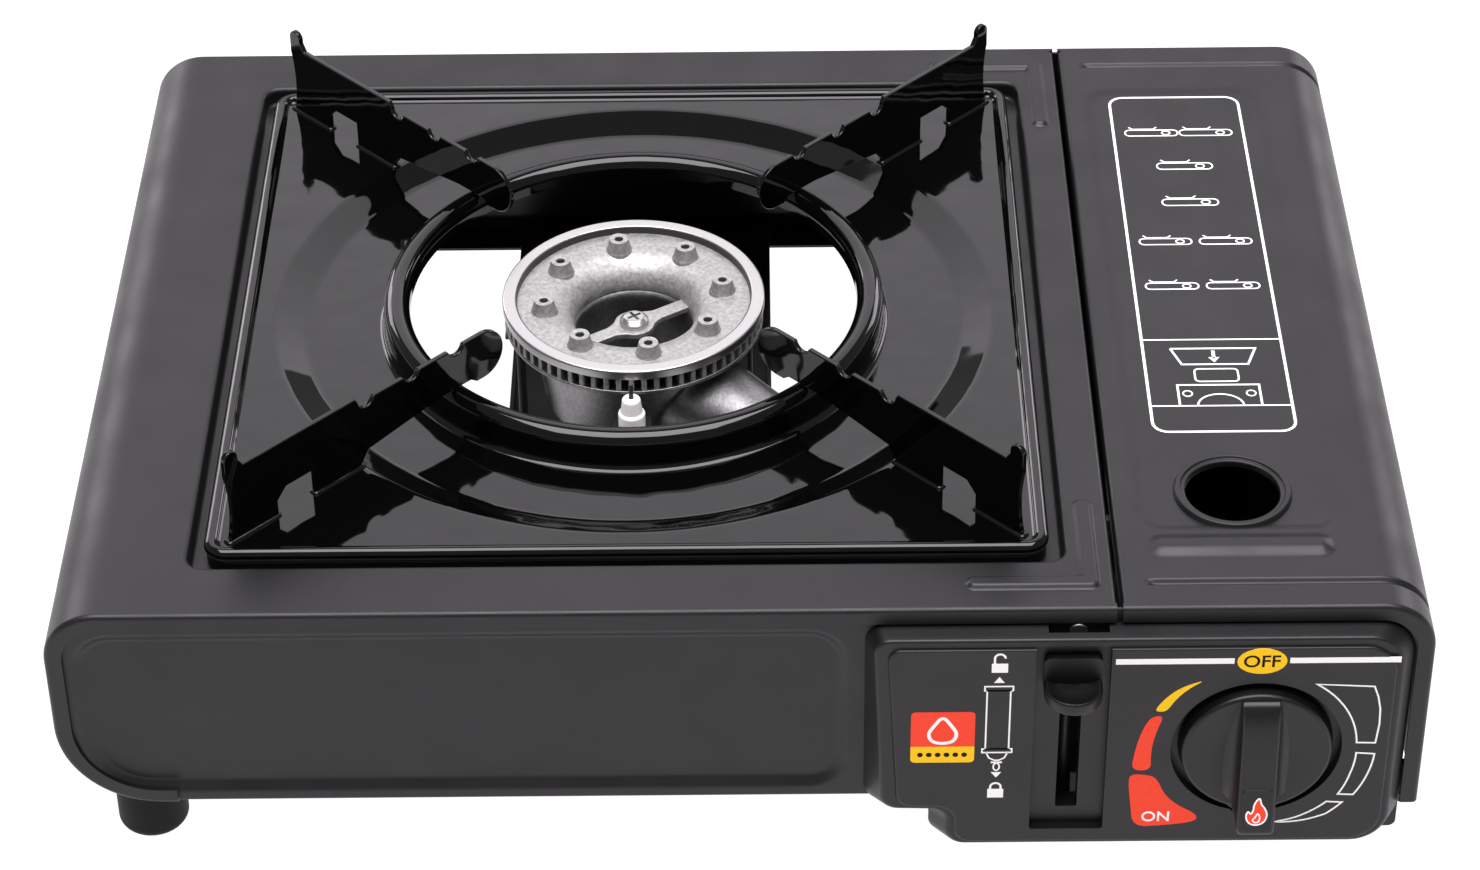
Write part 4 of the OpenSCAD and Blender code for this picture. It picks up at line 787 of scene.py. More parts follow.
def word(name, text, mat, width, centre):
    """A plain word as a flat mesh beside the knob, fitted to a width; centre is from the knob's own."""
    curve = bpy.data.curves.new(name, "FONT")
    curve.body = text
    curve.align_x = "CENTER"
    curve.align_y = "CENTER"
    curve.offset = WORD_WEIGHT
    source = link(name + "_source", curve)
    bpy.context.view_layer.update()
    deps = bpy.context.evaluated_depsgraph_get()
    mesh = bpy.data.meshes.new_from_object(source.evaluated_get(deps))
    bpy.data.objects.remove(source)
    us = [v.co.x for v in mesh.vertices]
    vs = [v.co.y for v in mesh.vertices]
    scale = width / (max(us) - min(us))
    mid_u, mid_v = (max(us) + min(us)) / 2, (max(vs) + min(vs)) / 2
    for v in mesh.vertices:
        v.co = Vector((KNOB_X + centre[0] + (v.co.x - mid_u) * scale, FACE_Y - WORD_LIFT,
                       KNOB_Z + centre[1] + (v.co.y - mid_v) * scale)) * MM
    lay_film(link(name, mesh), "case", mat, OUT)


def soft_outline(points, rounds=2):
    """A closed outline with its corners eased by cutting."""
    near, far = 0.75, 0.25
    pts = [np.array(p, float) for p in points]
    for _ in range(rounds):
        new = []
        for a, b in zip(pts, pts[1:] + pts[:1]):
            new += [a * near + b * far, a * far + b * near]
        pts = new
    return [tuple(p) for p in pts]


def stroke(points, width, closed=False):
    """A line of even width as quads with joined corners."""
    pts = [np.array(p, float) for p in points]
    count = len(pts)
    sharpest = 0.4
    left, right = [], []
    for i, p in enumerate(pts):
        ways = []
        if closed or i:
            ways.append((p - pts[i - 1]) / np.linalg.norm(p - pts[i - 1]))
        if closed or i < count - 1:
            after = pts[(i + 1) % count]
            ways.append((after - p) / np.linalg.norm(after - p))
        sides = [np.array([-w[1], w[0]]) for w in ways]
        normal = sum(sides) / np.linalg.norm(sum(sides))
        reach = width / 2 / max(float(normal @ sides[0]), sharpest)
        left.append(p + normal * reach)
        right.append(p - normal * reach)
    quads = []
    for i in range(count if closed else count - 1):
        k = (i + 1) % count
        quads.append([tuple(left[i]), tuple(left[k]), tuple(right[k]), tuple(right[i])])
    return quads


# Scale round the knob: places from the knob's centre

KNOB_AT = (KNOB_X, KNOB_Z)
OFF_AT, OFF_SIZE, OFF_W, ON_AT, ON_W = (-0.4, 28.5), (6.1, 4.05), 9.0, (-23.9, -22.9), 7.0
SCALE_LINES = ((-36.2, 27.8, -7.2, 29.5), (6.4, 27.8, 33.6, 29.5))
LOW_FLAME = [(-13.8, 22.6), (-19.1, 20.5), (-22.8, 17.5), (-26.0, 12.8), (-24.4, 12.2), (-22.7, 12.7),
             (-20.8, 16.4), (-17.8, 19.8)]
MID_FLAME = [(-27.6, 8.8), (-26.0, 10.8), (-23.5, 10.8), (-24.7, 7.1), (-25.8, 2.1), (-26.1, -2.4),
             (-25.8, -7.2), (-30.8, -7.2), (-30.2, -1.4), (-29.2, 4.1)]
HIGH_FLAME = [(-31.2, -11.9), (-31.0, -8.5), (-26.9, -8.7), (-24.2, -9.8), (-22.2, -15.1), (-18.8, -19.0),
              (-13.5, -22.2), (-13.5, -24.8), (-21.9, -26.0), (-29.5, -26.4), (-30.4, -18.4)]
WEDGE_STEP, WEDGE_LINE = 3, 0.45


def polar(radius, degrees):
    a = math.radians(degrees)
    return (radius * math.cos(a), radius * math.sin(a))


def ring_side(stations):
    """Points round the knob through (radius, degrees) stations, at most WEDGE_STEP degrees apart."""
    points = []
    for (r0, a0), (r1, a1) in zip(stations, stations[1:]):
        runs = max(1, math.ceil(abs(a1 - a0) / WEDGE_STEP))
        points += [polar(between(r0, r1, k / runs), between(a0, a1, k / runs)) for k in range(runs)]
    return points + [polar(*stations[-1])]


WEDGES = [
    ring_side([(24.9, 56.8), (24.9, 3.5)])
    + [(29.5, 1.4), (30.0, 7.6), (29.8, 12.6), (29.0, 16.6), (27.8, 20.0)],
    ring_side([(25.1, -4.3), (25.6, -20), (26.7, -36.3)])
    + ring_side([(30.0, -32.2), (29.8, -17.8), (29.7, -4.4)]),
    ring_side([(26.3, -44.1), (26.2, -63.7), (25.8, -76.6)])
    + ring_side([(26.2, -74), (28.0, -61), (29.4, -49.7), (29.4, -39.2)]),
]
panel_print("scale_lines", [box_outline(*line) for line in SCALE_LINES], WHITE, at=KNOB_AT)
panel_print("off_mark", [ellipse(*OFF_AT, *OFF_SIZE)], YELLOW, OVERPRINT_LIFT, KNOB_AT)
panel_print("low_mark", [soft_outline(LOW_FLAME)], YELLOW, at=KNOB_AT)
panel_print("flame_marks", [soft_outline(MID_FLAME), soft_outline(HIGH_FLAME)], RED, at=KNOB_AT)
wedge_lines = [quad for wedge in WEDGES for quad in stroke(wedge, WEDGE_LINE, True)]
panel_print("scale_wedges", wedge_lines, WHITE, at=KNOB_AT)
word("off_word", "OFF", BLACK_INK_AND_SHADE, OFF_W, OFF_AT)
word("on_word", "ON", WHITE, ON_W, ON_AT)


# Two-tone sticker with a drop and dots

STICKER_X0, STICKER_LOW, STICKER_X1, STICKER_TOP = 42.4, 33.4, 58.3, 50.1
STICKER_SPLIT, STICKER_R, STICKER_SEG = 38.7, 1.1, 4
DROP = [(50.3, 48.9), (52.6, 45.4), (54.0, 42.9), (53.0, 40.3), (50.3, 39.7), (47.6, 40.3), (46.6, 42.9),
        (48.0, 45.4)]
DROP_LINE = 0.9
DOT_COUNT, DOT_X, DOT_Z, DOT_STEP, DOT_R = 6, 44.8, 36.0, 2.2, 0.72

upper = box_outline(STICKER_X0, STICKER_SPLIT, STICKER_X1, STICKER_TOP)
lower = box_outline(STICKER_X0, STICKER_LOW, STICKER_X1, STICKER_SPLIT)
panel_print("sticker_upper", [rounded(upper, [0, 0, STICKER_R, STICKER_R], STICKER_SEG, True)], RED)
panel_print("sticker_lower", [rounded(lower, [STICKER_R, STICKER_R, 0, 0], STICKER_SEG, True)], YELLOW)
panel_print("sticker_drop", stroke(soft_outline(DROP, 3), DROP_LINE, True), WHITE, PICTURE_LIFT)
dots = [disc(DOT_X + DOT_STEP * k, DOT_Z, DOT_R, 20) for k in range(DOT_COUNT)]
panel_print("sticker_dots", dots, BLACK_INK_AND_SHADE, PICTURE_LIFT)


# Canister picture with an open and a shut padlock: half widths and heights about its middle line

PICTURE_X, PICTURE_LINE, NECK_LINE, LOCK_LINE = 63.9, 0.4, 0.5, 0.55
CANISTER = ((3.5, 57.0, 58.4), (2.9, 37.8, 57.0), (3.7, 36.6, 37.8))
SHOULDER = ((-2.7, 36.6), (-1.9, 34.8), (-0.6, 34.0), (0.6, 34.0), (1.9, 34.8), (2.7, 36.6))
NECK = ((-1.4, 33.3), (1.4, 33.3))
STEM_Z, STEM_SIZE = 31.8, (0.75, 1.2)
ARROWS = (((-1.3, 59.6), (1.3, 59.6), (0, 61.5)), ((-1.3, 30.0), (1.3, 30.0), (0, 28.2)))
LOCK_HALF, LOCK_H, SHACKLE_R, SHACKLE_RISE = 2.0, 2.9, 1.3, 3.6
OPEN_LOCK_Z, OPEN_LOCK_LIFT, SHUT_LOCK_Z = 62.9, 1.0, 21.4


def centred(points):
    return [(PICTURE_X + u, v) for u, v in points]


def padlock(low, lift):
    """A small lock picture; lift opens its shackle."""
    body = [centred(box_outline(-LOCK_HALF, low, LOCK_HALF, low + LOCK_H))]
    shackle = [(-SHACKLE_R, low + LOCK_H)] + arc(0, low + SHACKLE_RISE + lift, SHACKLE_R, math.pi, 0, 12)
    if lift == 0:
        shackle.append((SHACKLE_R, low + LOCK_H))
    return body + stroke(centred(shackle), LOCK_LINE)


canister = []
for half, low, high in CANISTER:
    canister += stroke(centred(box_outline(-half, low, half, high)), PICTURE_LINE, True)
canister += stroke(centred(SHOULDER), PICTURE_LINE) + stroke(centred(NECK), NECK_LINE)
canister += stroke(ellipse(PICTURE_X, STEM_Z, *STEM_SIZE, 24), PICTURE_LINE, True)
canister += [centred(arrow) for arrow in ARROWS]
canister += padlock(OPEN_LOCK_Z, OPEN_LOCK_LIFT) + padlock(SHUT_LOCK_Z, 0.0)
panel_print("canister_picture", canister, WHITE)


# Plain picture frame on the lid, with small stoves and a pan over a burner

LABEL, LABEL_R, LABEL_LINE = (107.2, -48.5, 144.2, 109.5), 4.0, 0.75
LABEL_RULES, RULE_HALF = (-37.5, -8.5), 0.25
STOVE_BODY, STOVE_KNOB = rect_points(-6.5, -1.3, 6.5, 1.3, 1.2, 5), ellipse(3.6, 0, 1.0, 0.8, 20)
STOVE_REST = [(-5.5, 2.6), (-4.6, 1.7), (0.6, 1.7), (1.4, 2.6)]
STOVES = ((118, 91, 1.15), (133.5, 91, 1.15), (126, 74, 1.2), (126, 56, 1.2), (117.5, 37, 1.1),
          (134, 37, 1.1), (117.5, 16, 1.1), (134, 16, 1.1))
PICTURE_MID = 125.7
PAN_SIDE = [(114.5, -12.5), (137, -12.5), (134.5, -19.5), (117, -19.5), (114.5, -12.5)]
PAN_SHAFT = [(PICTURE_MID, -13.5), (PICTURE_MID, -17.0)]
PAN_ARROW = [(124.2, -16.4), (127.2, -16.4), (PICTURE_MID, -18.6)]
STAND = [(115, -37), (115, -28.5), (136.4, -28.5), (136.4, -37)]
STAND_KNOBS = ((117.4, -32.2), (134, -32.2))
GRATE, GRATE_R, BURNER_PICTURE, KNOB_DOT_R = (120, -27, 131.4, -21.5), 1.2, (6, 5), 1.2
THIN, MEDIUM, BROAD, THICK, BOLD = 0.4, 0.45, 0.5, 0.6, 0.9


def stove_picture(cx, cy, size):
    """Side view of a stove: body, knob and pot rest."""
    lines = []
    shapes = ((STOVE_BODY, MEDIUM, True), (STOVE_KNOB, THIN, True), (STOVE_REST, MEDIUM, False))
    for points, width, closed in shapes:
        lines += stroke([(cx + size * u, cy + size * v) for u, v in points], width, closed)
    return lines


label = stroke(rect_points(*LABEL, LABEL_R, 6), LABEL_LINE, True)
label += [box_outline(LABEL[0], level - RULE_HALF, LABEL[2], level + RULE_HALF) for level in LABEL_RULES]
for stove in STOVES:
    label += stove_picture(*stove)
label += stroke(PAN_SIDE, THICK) + stroke(PAN_SHAFT, BOLD) + [PAN_ARROW]
label += stroke(rect_points(*GRATE, GRATE_R, 4), BROAD, True) + stroke(STAND, THICK)
label += stroke(ellipse(PICTURE_MID, LABEL_RULES[0], *BURNER_PICTURE)[:25], BROAD)
for spot in STAND_KNOBS:
    label += stroke(disc(*spot, KNOB_DOT_R, 20), THIN, True)
print_on("lid_picture", label, "lid", WHITE,
         lambda u, v: (u, v, TOP - LABEL_SINK + PRINT_LIFT), UP)


# Knob: u runs across, v up and w out of its disc

KNOB_H, KNOB_DRAFT, KNOB_BACK, CENTRE_R = 4.6, 0.7, 1.5, 0.01
KNOB_BENDS, KNOB_CREASE = [0, 1.3, 0.2, 0, 0], 50
KNOB_HOLLOW = [(CENTRE_R, -0.9), (5, -0.8), (9, -0.55), (13, -0.15)]
FACET_TOP, FACET_END = (-4.5, 6.35), (-18.0, 8.3)
GRIP = [(17.6, 0.6), (16.6, 1.7), (14.5, 3.1), (11.0, 4.3), (7.0, 5.0), (3.0, 5.5), (-1.0, 5.95), FACET_TOP,
        (-8.0, 6.9), (-13.0, 7.6), FACET_END, (-19.3, 8.35), (-19.9, 7.9), (-20.1, 7.0), (-20.0, 4.0),
        (-19.5, -3.0)]
GRIP_HALF, GRIP_LOW, GRIP_SEG = 4.7, -1.0, 9
TAPER_FROM, TAPER, LEAST_RISE = -18.9, 0.25, 0.3
SCOOP, SCOOP_SHARE, SCOOP_LEAST, SCOOP_EDGE, SCOOP_SKIRT = 6.4, 0.78, 0.25, 0.6, 0.5
CROWN, CROWN_SHARE = 1.0, 0.2


def on_knob(u, v, w):
    return (KNOB_X + u, DISC_Y - w, KNOB_Z + v)


def grip_ring(v, high):
    """Section of the bar: a crowned top and sides scooped out into the disc."""
    half, low = GRIP_HALF, GRIP_LOW
    if v < TAPER_FROM:
        half -= TAPER * (TAPER_FROM - v)
    rise = max(high - low, LEAST_RISE)
    room = math.sqrt(max(KNOB_R ** 2 - v * v, 0)) - half - SCOOP_EDGE
    scoop = max(min(SCOOP, rise * SCOOP_SHARE, room), SCOOP_LEAST)
    crown = min(CROWN, rise * CROWN_SHARE)
    skirt = half + scoop + SCOOP_SKIRT
    points = rounded([(-skirt, low), (-half, low), (-half, high), (half, high), (half, low), (skirt, low)],
                     [0, scoop, crown, crown, scoop, 0], GRIP_SEG)
    return [on_knob(u, v, w) for u, w in points]


knob_side = rounded([(CENTRE_R, 0), (KNOB_R - KNOB_DRAFT, 0), (KNOB_R, -KNOB_H),
                     (KNOB_R - KNOB_BACK, -KNOB_H), (CENTRE_R, -KNOB_H)], KNOB_BENDS, 6)[1:]
cap = loft([[on_knob(u, v, w) for u, v in disc(0, 0, r, KNOB_SIDES)] for r, w in KNOB_HOLLOW + knob_side],
           caps=True)
grip = loft([grip_ring(v, high) for v, high in GRIP], caps=True)
knob = build("knob_cap", joined(cap, grip))
piece(knob, "knob", "knob_plastic", "gas_knob", limit=KNOB_CREASE)


# Insert on the knob's pointer end with a plain flame picture

INLAY, INLAY_R, INLAY_CREASE = (-3.9, -18.6, 3.9, -6.0), 1.6, 60
INLAY_MID = (INLAY[1] + INLAY[3]) / 2
INLAY_LEVELS = ((-0.3, 1, 1), (0.12, 1, 1), (0.25, 0.96, 0.98))
FLAME = [(0.6, -8.0), (1.0, -10.2), (2.0, -11.4), (2.7, -13.3), (2.0, -15.5), (0.0, -16.5), (-2.0, -15.8),
         (-2.8, -13.8), (-2.2, -12.0), (-1.6, -13.2), (-0.9, -12.2), (-0.8, -10.0)]
FLAME_CORE = [(0.2, -12.6), (0.9, -14.0), (0.6, -15.4), (-0.4, -15.7), (-1.1, -14.8), (-0.4, -14.2)]
FLAME_LIFT, FLAME_EDGE_LIFT, FLAME_LINE, CORE_LINE = 0.3, 0.36, 0.4, 0.35


def on_facet(lift):
    """Places (u, v) on the bar's sloping facet."""
    slope = (FACET_END[1] - FACET_TOP[1]) / (FACET_TOP[0] - FACET_END[0])
    return lambda u, v: on_knob(u, v, FACET_TOP[1] + (FACET_TOP[0] - v) * slope + lift)


inlay_rings = []
for lift, wide, tall in INLAY_LEVELS:
    place = on_facet(lift)
    inlay_rings.append([place(u * wide, INLAY_MID + (v - INLAY_MID) * tall)
                        for u, v in rect_points(*INLAY, INLAY_R)])
inlay = build("pointer_inlay", loft(inlay_rings, caps=True))
piece(inlay, "knob", "inlay", "knob_inlay", limit=INLAY_CREASE)
flame, flame_core = soft_outline(FLAME), soft_outline(FLAME_CORE)
print_on("flame_picture", [flame], "knob", RED, on_facet(FLAME_LIFT), OUT)
print_on("flame_edge", stroke(flame, FLAME_LINE, True) + stroke(flame_core, CORE_LINE, True), "knob", WHITE,
         on_facet(FLAME_EDGE_LIFT), OUT)


# Lock lever: insets and heights of the tongue, from its underside to its dished top

TONGUE = ((0.8, 1.4), (0.2, 1.7), (0.0, 2.2), (0.0, 4.3), (0.15, 4.75), (0.5, 5.0), (1.0, 4.95), (1.6, 4.6),
          (2.6, 4.2), (4.0, 3.95), (5.6, 3.85), (6.8, 3.8))
LEVER_ROOT, TONGUE_LEN, ROOT_SHARE = LEVER_FLOOR - GAP, 11.5, 0.2
BACKING_LOW, BACKING_T, BACKING_R = LEVER_LOW + 3, 2.0, 1.6
STEM_HALF, STEM_TOP, STEM_BITE, STEM_R = 2.45, LEVER_LOW + 6, 0.5, 0.3


def tongue_outline(inset):
    """The tongue from above: a straight root with a round nose."""
    half, root = LEVER_HALF - inset, LEVER_ROOT - inset * ROOT_SHARE
    nose = arc(LEVER_X, LEVER_ROOT - TONGUE_LEN + LEVER_HALF, half, 0, -math.pi, 32)
    return [(LEVER_X + half, root)] + nose + [(LEVER_X - half, root)]


tongue = loft([[(x, y, LEVER_LOW + rise) for x, y in tongue_outline(inset)] for inset, rise in TONGUE],
              caps=True)
backing = prism(rect_points(LEVER_X - LEVER_HALF, BACKING_LOW, LEVER_X + LEVER_HALF, LEVER_TOP, BACKING_R),
                LEVER_ROOT - BACKING_T, LEVER_ROOT)
stem = prism(rect_points(LEVER_X - STEM_HALF, LEVER_LOW, LEVER_X + STEM_HALF, STEM_TOP, STEM_R, 3),
             LEVER_ROOT - STEM_BITE, LEVER_BACK)
lever = build("lever_tongue", joined(tongue, backing, stem))
piece(lever, "lever", "knob_plastic", "lock_lever")


# Pan support: a dish with a raised collar, a square rolled rim and four arms

COLLAR_R, COLLAR_HOLE, COLLAR_LIP_Z = 67.0, 60.0, COLLAR_TOP - 6.0
COLLAR_ROLL, COLLAR_MID = (COLLAR_R - COLLAR_HOLE) / 2, (COLLAR_R + COLLAR_HOLE) / 2
DISH_Z, DISH_FLOOR_R, DISH_R, DISH_EDGE = LEDGE_Z + 1.4, 88.0, 96.5, 99.5
DISH_BENDS, DISH_SEG = [0, 2.0, 6.0, 5.0, 0], 8
BEAD, BEAD_Z, BEAD_FROM, BEAD_TO = 1.8, LEDGE_Z + 4.7, 0.25, math.pi + 0.6
RIM_RUN, RIM_STEP, RIM_BEND, SKIRT_INSET, SKIRT_TOP = 5.0, 0.5, 0.4, 0.4, LEDGE_Z + 3.2
LEAST_PAN_R, PAN_CREASE, ARM_ROUND = 0.8, 50, 0.3
CORNER_TURNS = np.radians(list(np.arange(-42, 42.1, 2.0)) + list(np.arange(42.3, 48, 0.3)))
PAN_TURNS = [turn + k * math.pi / 2 for k in range(4) for turn in CORNER_TURNS]


def square_reach(turn, half, radius):
    """Distance from the centre to a rounded square's edge in one direction."""
    c, s = abs(math.cos(turn)), abs(math.sin(turn))
    core = half - radius
    reach = half / max(c, s)
    if reach * min(c, s) > core:
        along = core * (c + s)
        reach = along + math.sqrt(max(along * along - (2 * core * core - radius * radius), 0))
    return reach


def pan_point(turn, reach, z):
    return (WELL_X + reach * math.cos(turn), MID_Y + reach * math.sin(turn), z)


collar_roll = arc(COLLAR_MID, COLLAR_TOP - COLLAR_ROLL, COLLAR_ROLL, math.pi, 0, 16)
dish = rounded([collar_roll[-1], (COLLAR_R, DISH_Z), (DISH_FLOOR_R, DISH_Z), (DISH_R, PAN_FLAT),
                (DISH_EDGE, PAN_FLAT)], DISH_BENDS, DISH_SEG)
pan_profile = [(COLLAR_HOLE, COLLAR_LIP_Z)] + collar_roll + dish[1:]
pan_rings = [[pan_point(t, r, z) for t in PAN_TURNS] for r, z in pan_profile]
rim_profile = rounded([(RIM_RUN, PAN_FLAT), (2 * BEAD + RIM_STEP, PAN_FLAT), (2 * BEAD, PAN_FLAT + RIM_BEND)],
                      [0, RIM_BEND, 0], 3)
rim_profile += arc(BEAD, BEAD_Z, BEAD, BEAD_FROM, BEAD_TO, 17)
rim_profile += [(SKIRT_INSET, SKIRT_TOP), (SKIRT_INSET, LEDGE_Z)]
for inset, z in rim_profile:
    half, bend = PAN_HALF - inset, max(PAN_R - inset, LEAST_PAN_R)
    pan_rings.append([pan_point(t, square_reach(t, half, bend), z) for t in PAN_TURNS])
pan = build("pan_sheet", loft(pan_rings))
thicken(pan, PAN_T, UP)
piece(pan, "pan", "enamel", "drip_pan", limit=PAN_CREASE)

for corner in ("front_left", "front_right", "rear_left", "rear_right"):
    arm = soft_copy(corner + "_arm", corner + "_arm_plate", ARM_ROUND, 3)
    piece(arm, "pan", "enamel", corner + "_arm", limit=PAN_CREASE)


# Repeats on a ring by geometry nodes

def ring_tree():
    """Copies of a mesh round a circle: count, radius, first angle and centre."""
    tree = bpy.data.node_groups.new("ring_repeat", "GeometryNodeTree")
    sockets = {}
    tree.interface.new_socket("Geometry", in_out="INPUT", socket_type="NodeSocketGeometry")
    for name, kind in (("Count", "Int"), ("Radius", "Float"), ("Start", "Float"), ("Centre", "Vector"),
                       ("Material", "Material")):
        socket = tree.interface.new_socket(name, in_out="INPUT", socket_type="NodeSocket" + kind)
        sockets[name] = socket.identifier
    tree.interface.new_socket("Geometry", in_out="OUTPUT", socket_type="NodeSocketGeometry")
    nodes, links = tree.nodes, tree.links

    def maths(operation, *values):
        node = nodes.new("ShaderNodeMath")
        node.operation = operation
        for socket, value in zip(node.inputs, values):
            if isinstance(value, float):
                socket.default_value = value
            else:
                links.new(value, socket)
        return node.outputs[0]

    def add(kind, sources):
        node = nodes.new(kind)
        for key, source in sources.items():
            links.new(source, node.inputs[key])
        return node.outputs[0] if node.outputs else None

    given = nodes.new("NodeGroupInput").outputs
    index = add("GeometryNodeInputIndex", {})
    turn = maths("ADD", maths("DIVIDE", maths("MULTIPLY", index, TURN), given["Count"]), given["Start"])
    spot = add("ShaderNodeCombineXYZ", {"X": maths("MULTIPLY", maths("COSINE", turn), given["Radius"]),
                                        "Y": maths("MULTIPLY", maths("SINE", turn), given["Radius"])})
    points = add("GeometryNodePoints", {"Count": given["Count"]})
    shift = add("ShaderNodeVectorMath", {0: spot, 1: given["Centre"]})
    placed = add("GeometryNodeSetPosition", {"Geometry": points, "Position": shift})
    spin = add("ShaderNodeCombineXYZ", {"Z": turn})
    copies = add("GeometryNodeInstanceOnPoints", {"Points": placed, "Instance": given["Geometry"],
                                                  "Rotation": spin})
    real = add("GeometryNodeRealizeInstances", {"Geometry": copies})
    look = add("GeometryNodeSetMaterial", {"Geometry": real, "Material": given["Material"]})
    add("NodeGroupOutput", {"Geometry": look})
    return tree, sockets


RING, RING_SOCKETS = ring_tree()


def repeat(ob, count, radius, start, z, mat):
    """Copies the object round the burner's axis, starting at an angle in degrees."""
    mod = ob.modifiers.new("ring", "NODES")
    mod.node_group = RING
    values = {"Count": count, "Radius": radius * MM, "Start": math.radians(start),
              "Centre": tuple(c * MM for c in (*AXIS, z)), "Material": mat}
    for name, value in values.items():
        mod[RING_SOCKETS[name]] = value
    ob.update_tag()
    bpy.context.view_layer.update()
    apply(ob)


# Beads where the arms' feet join the pan: how far each ring reaches beyond the foot, and its height

ARM_FEET, ARM_HALF, FEET_REACH = ((96.7, 112.5), (124.5, 140.6)), 0.75, 118.0
BEAD_RINGS = ((0.8, -0.3), (0.77, 0.1), (0.6, 0.4), (0.33, 0.62), (0.0, 0.75))
BEAD_R, BEAD_CREASE = 0.3, 60


def foot_bead(start, end):
    rings = []
    for grow, z in BEAD_RINGS:
        box = (start - grow - FEET_REACH, -ARM_HALF - grow, end + grow - FEET_REACH, ARM_HALF + grow)
        rings.append([(x, y, z) for x, y in rect_points(*box, BEAD_R + grow, 4)])
    return loft(rings, caps=True)


beads = build("arm_beads", joined(*(foot_bead(*foot) for foot in ARM_FEET)))
repeat(beads, 4, FEET_REACH, 45, PAN_FLAT, ENAMEL)
piece(beads, "pan", "enamel", limit=BEAD_CREASE)


# Burner head: face, rim and a dark ring of painted shade between them

THROAT_R, THROAT_ROUND, THROAT_T = 16.0, 8.0, 1.8
FACE_R, FACE_OUT, FACE_LIP, FACE_LOW = 31.9, 32.3, HEAD_Z - 0.8, HEAD_Z - 3.4
FACE_SIDES, RIM_SIDES, BOWL_SIDES = 144, 160, 96
RIM_R, RIM_LOW, RIM_SHOULDER = 31.7, HEAD_Z - 2.8, HEAD_Z - 1.0
RIM_SHADE_IN, RIM_SHADE_OUT, RIM_SHADE_TOP, RIM_SHADE_DROP = 31.3, 31.68, 31.5, 0.3


def burner_ring(name, section, sides, *nodes, mat=None):
    """A closed section of (radius, z) turned round the burner's axis."""
    piece(build(name, revolve(section, sides, centre=AXIS)), "case", "burner_casting", *nodes, mat=mat)


throat_mid = THROAT_R + THROAT_ROUND
throat = arc(throat_mid, THROAT_LOW, THROAT_ROUND, math.pi, math.pi / 2, 14)
underside = arc(throat_mid, THROAT_LOW, THROAT_ROUND - THROAT_T, math.pi / 2, math.pi, 8)
face_profile = throat[:-1] + rounded([throat[-1], (FACE_R, FACE_Z), (FACE_OUT, FACE_LIP)], [0, 0.9, 0], 4)
face_profile += [(FACE_OUT, FACE_LOW), (RIM_R, underside[0][1])] + underside
burner_ring("burner_face", face_profile, FACE_SIDES, "burner_cap")

rim_section = rounded([(RIM_R, RIM_SHOULDER), (RIM_R, HEAD_Z), (HEAD_R, HEAD_Z), (HEAD_R, RIM_LOW),
                       (RIM_R, RIM_LOW)], [0, 0.35, 0.6, 0.3, 0], 4, True)
burner_ring("burner_rim", rim_section, RIM_SIDES, mat=RIM)

# Painted shade: a dark ring just inside the rim's inner wall, where it meets the face, stands in for the
# shadow on that wall
rim_shade_low, rim_shade_high = FACE_Z - RIM_SHADE_DROP, HEAD_Z - RIM_SHADE_DROP
rim_shade_section = rounded([(RIM_SHADE_IN, rim_shade_low), (RIM_SHADE_OUT, rim_shade_low), (RIM_SHADE_OUT, rim_shade_high),
                        (RIM_SHADE_TOP, rim_shade_high)], [0, 0, 0.05, 0.05], 2, True)
burner_ring("burner_rim_shade", rim_shade_section, RIM_SIDES, mat=DARK_STEEL_AND_SHADE)


# Posts on the face with painted shade in their holes, flame slots between teeth with painted shade behind
# them, and the bridge across the throat

POST_H, POST_HOLE, POST_SINK, POST_CREASE = 3.5, 1.2, -2.6, 50
POST_COUNT, POST_RING, POST_START, POST_SIDES = 8, 24.3, 10.5, 28
HOLE_LOW, HOLE_SHADE_TOP, HOLE_SHADE_SIDES = POST_H - 0.8, POST_H - 0.5, 24
TOOTH_COUNT, TOOTH_RING, TOOTH_HALF, TOOTH_IN, TOOTH_R, TOOTH_TOP = 64, 34.6, 0.72, -2.9, 0.3, HEAD_Z - 2.6
SLOT_SHADE_IN, SLOT_SHADE_OUT, SLOT_SHADE_TOP = 31.2, 31.5, HEAD_Z - 2.7
BRIDGE_TURN, BRIDGE_ROUND = math.radians(33.0), 0.35
BRIDGE_LOW, BRIDGE_TOP = THROAT_LOW - 1.2, THROAT_LOW + 0.6
HUB_R, BAR_HALF, BAR_END = 5.5, 2.1, THROAT_R + 0.4


def turned(u, v, turn):
    """A point turned about the burner's axis."""
    c, s = math.cos(turn), math.sin(turn)
    return (WELL_X + u * c - v * s, MID_Y + u * s + v * c)


post_profile = [(POST_HOLE, HOLE_LOW), (POST_HOLE, POST_H - 0.1), (POST_HOLE + 0.1, POST_H)]
post_profile += rounded([(2.55, POST_H), (3.35, 0.4), (3.7, -0.2), (3.7, POST_SINK)], [0.35, 0.6, 0, 0], 4)
posts = build("burner_posts", revolve(post_profile + [(POST_HOLE, POST_SINK)], POST_SIDES))
repeat(posts, POST_COUNT, POST_RING, POST_START, FACE_Z, CAST)
piece(posts, "case", "burner_casting", limit=POST_CREASE)
# Painted shade: black plugs in the posts' holes stand in for the dark inside each hole
hole_shade = build("post_hole_shade", tower(disc(0, 0, POST_HOLE, HOLE_SHADE_SIDES), HOLE_LOW, HOLE_SHADE_TOP))
repeat(hole_shade, POST_COUNT, POST_RING, POST_START, FACE_Z, BLACK_INK_AND_SHADE)
piece(hole_shade, "case", "burner_casting", mat=BLACK_INK_AND_SHADE)

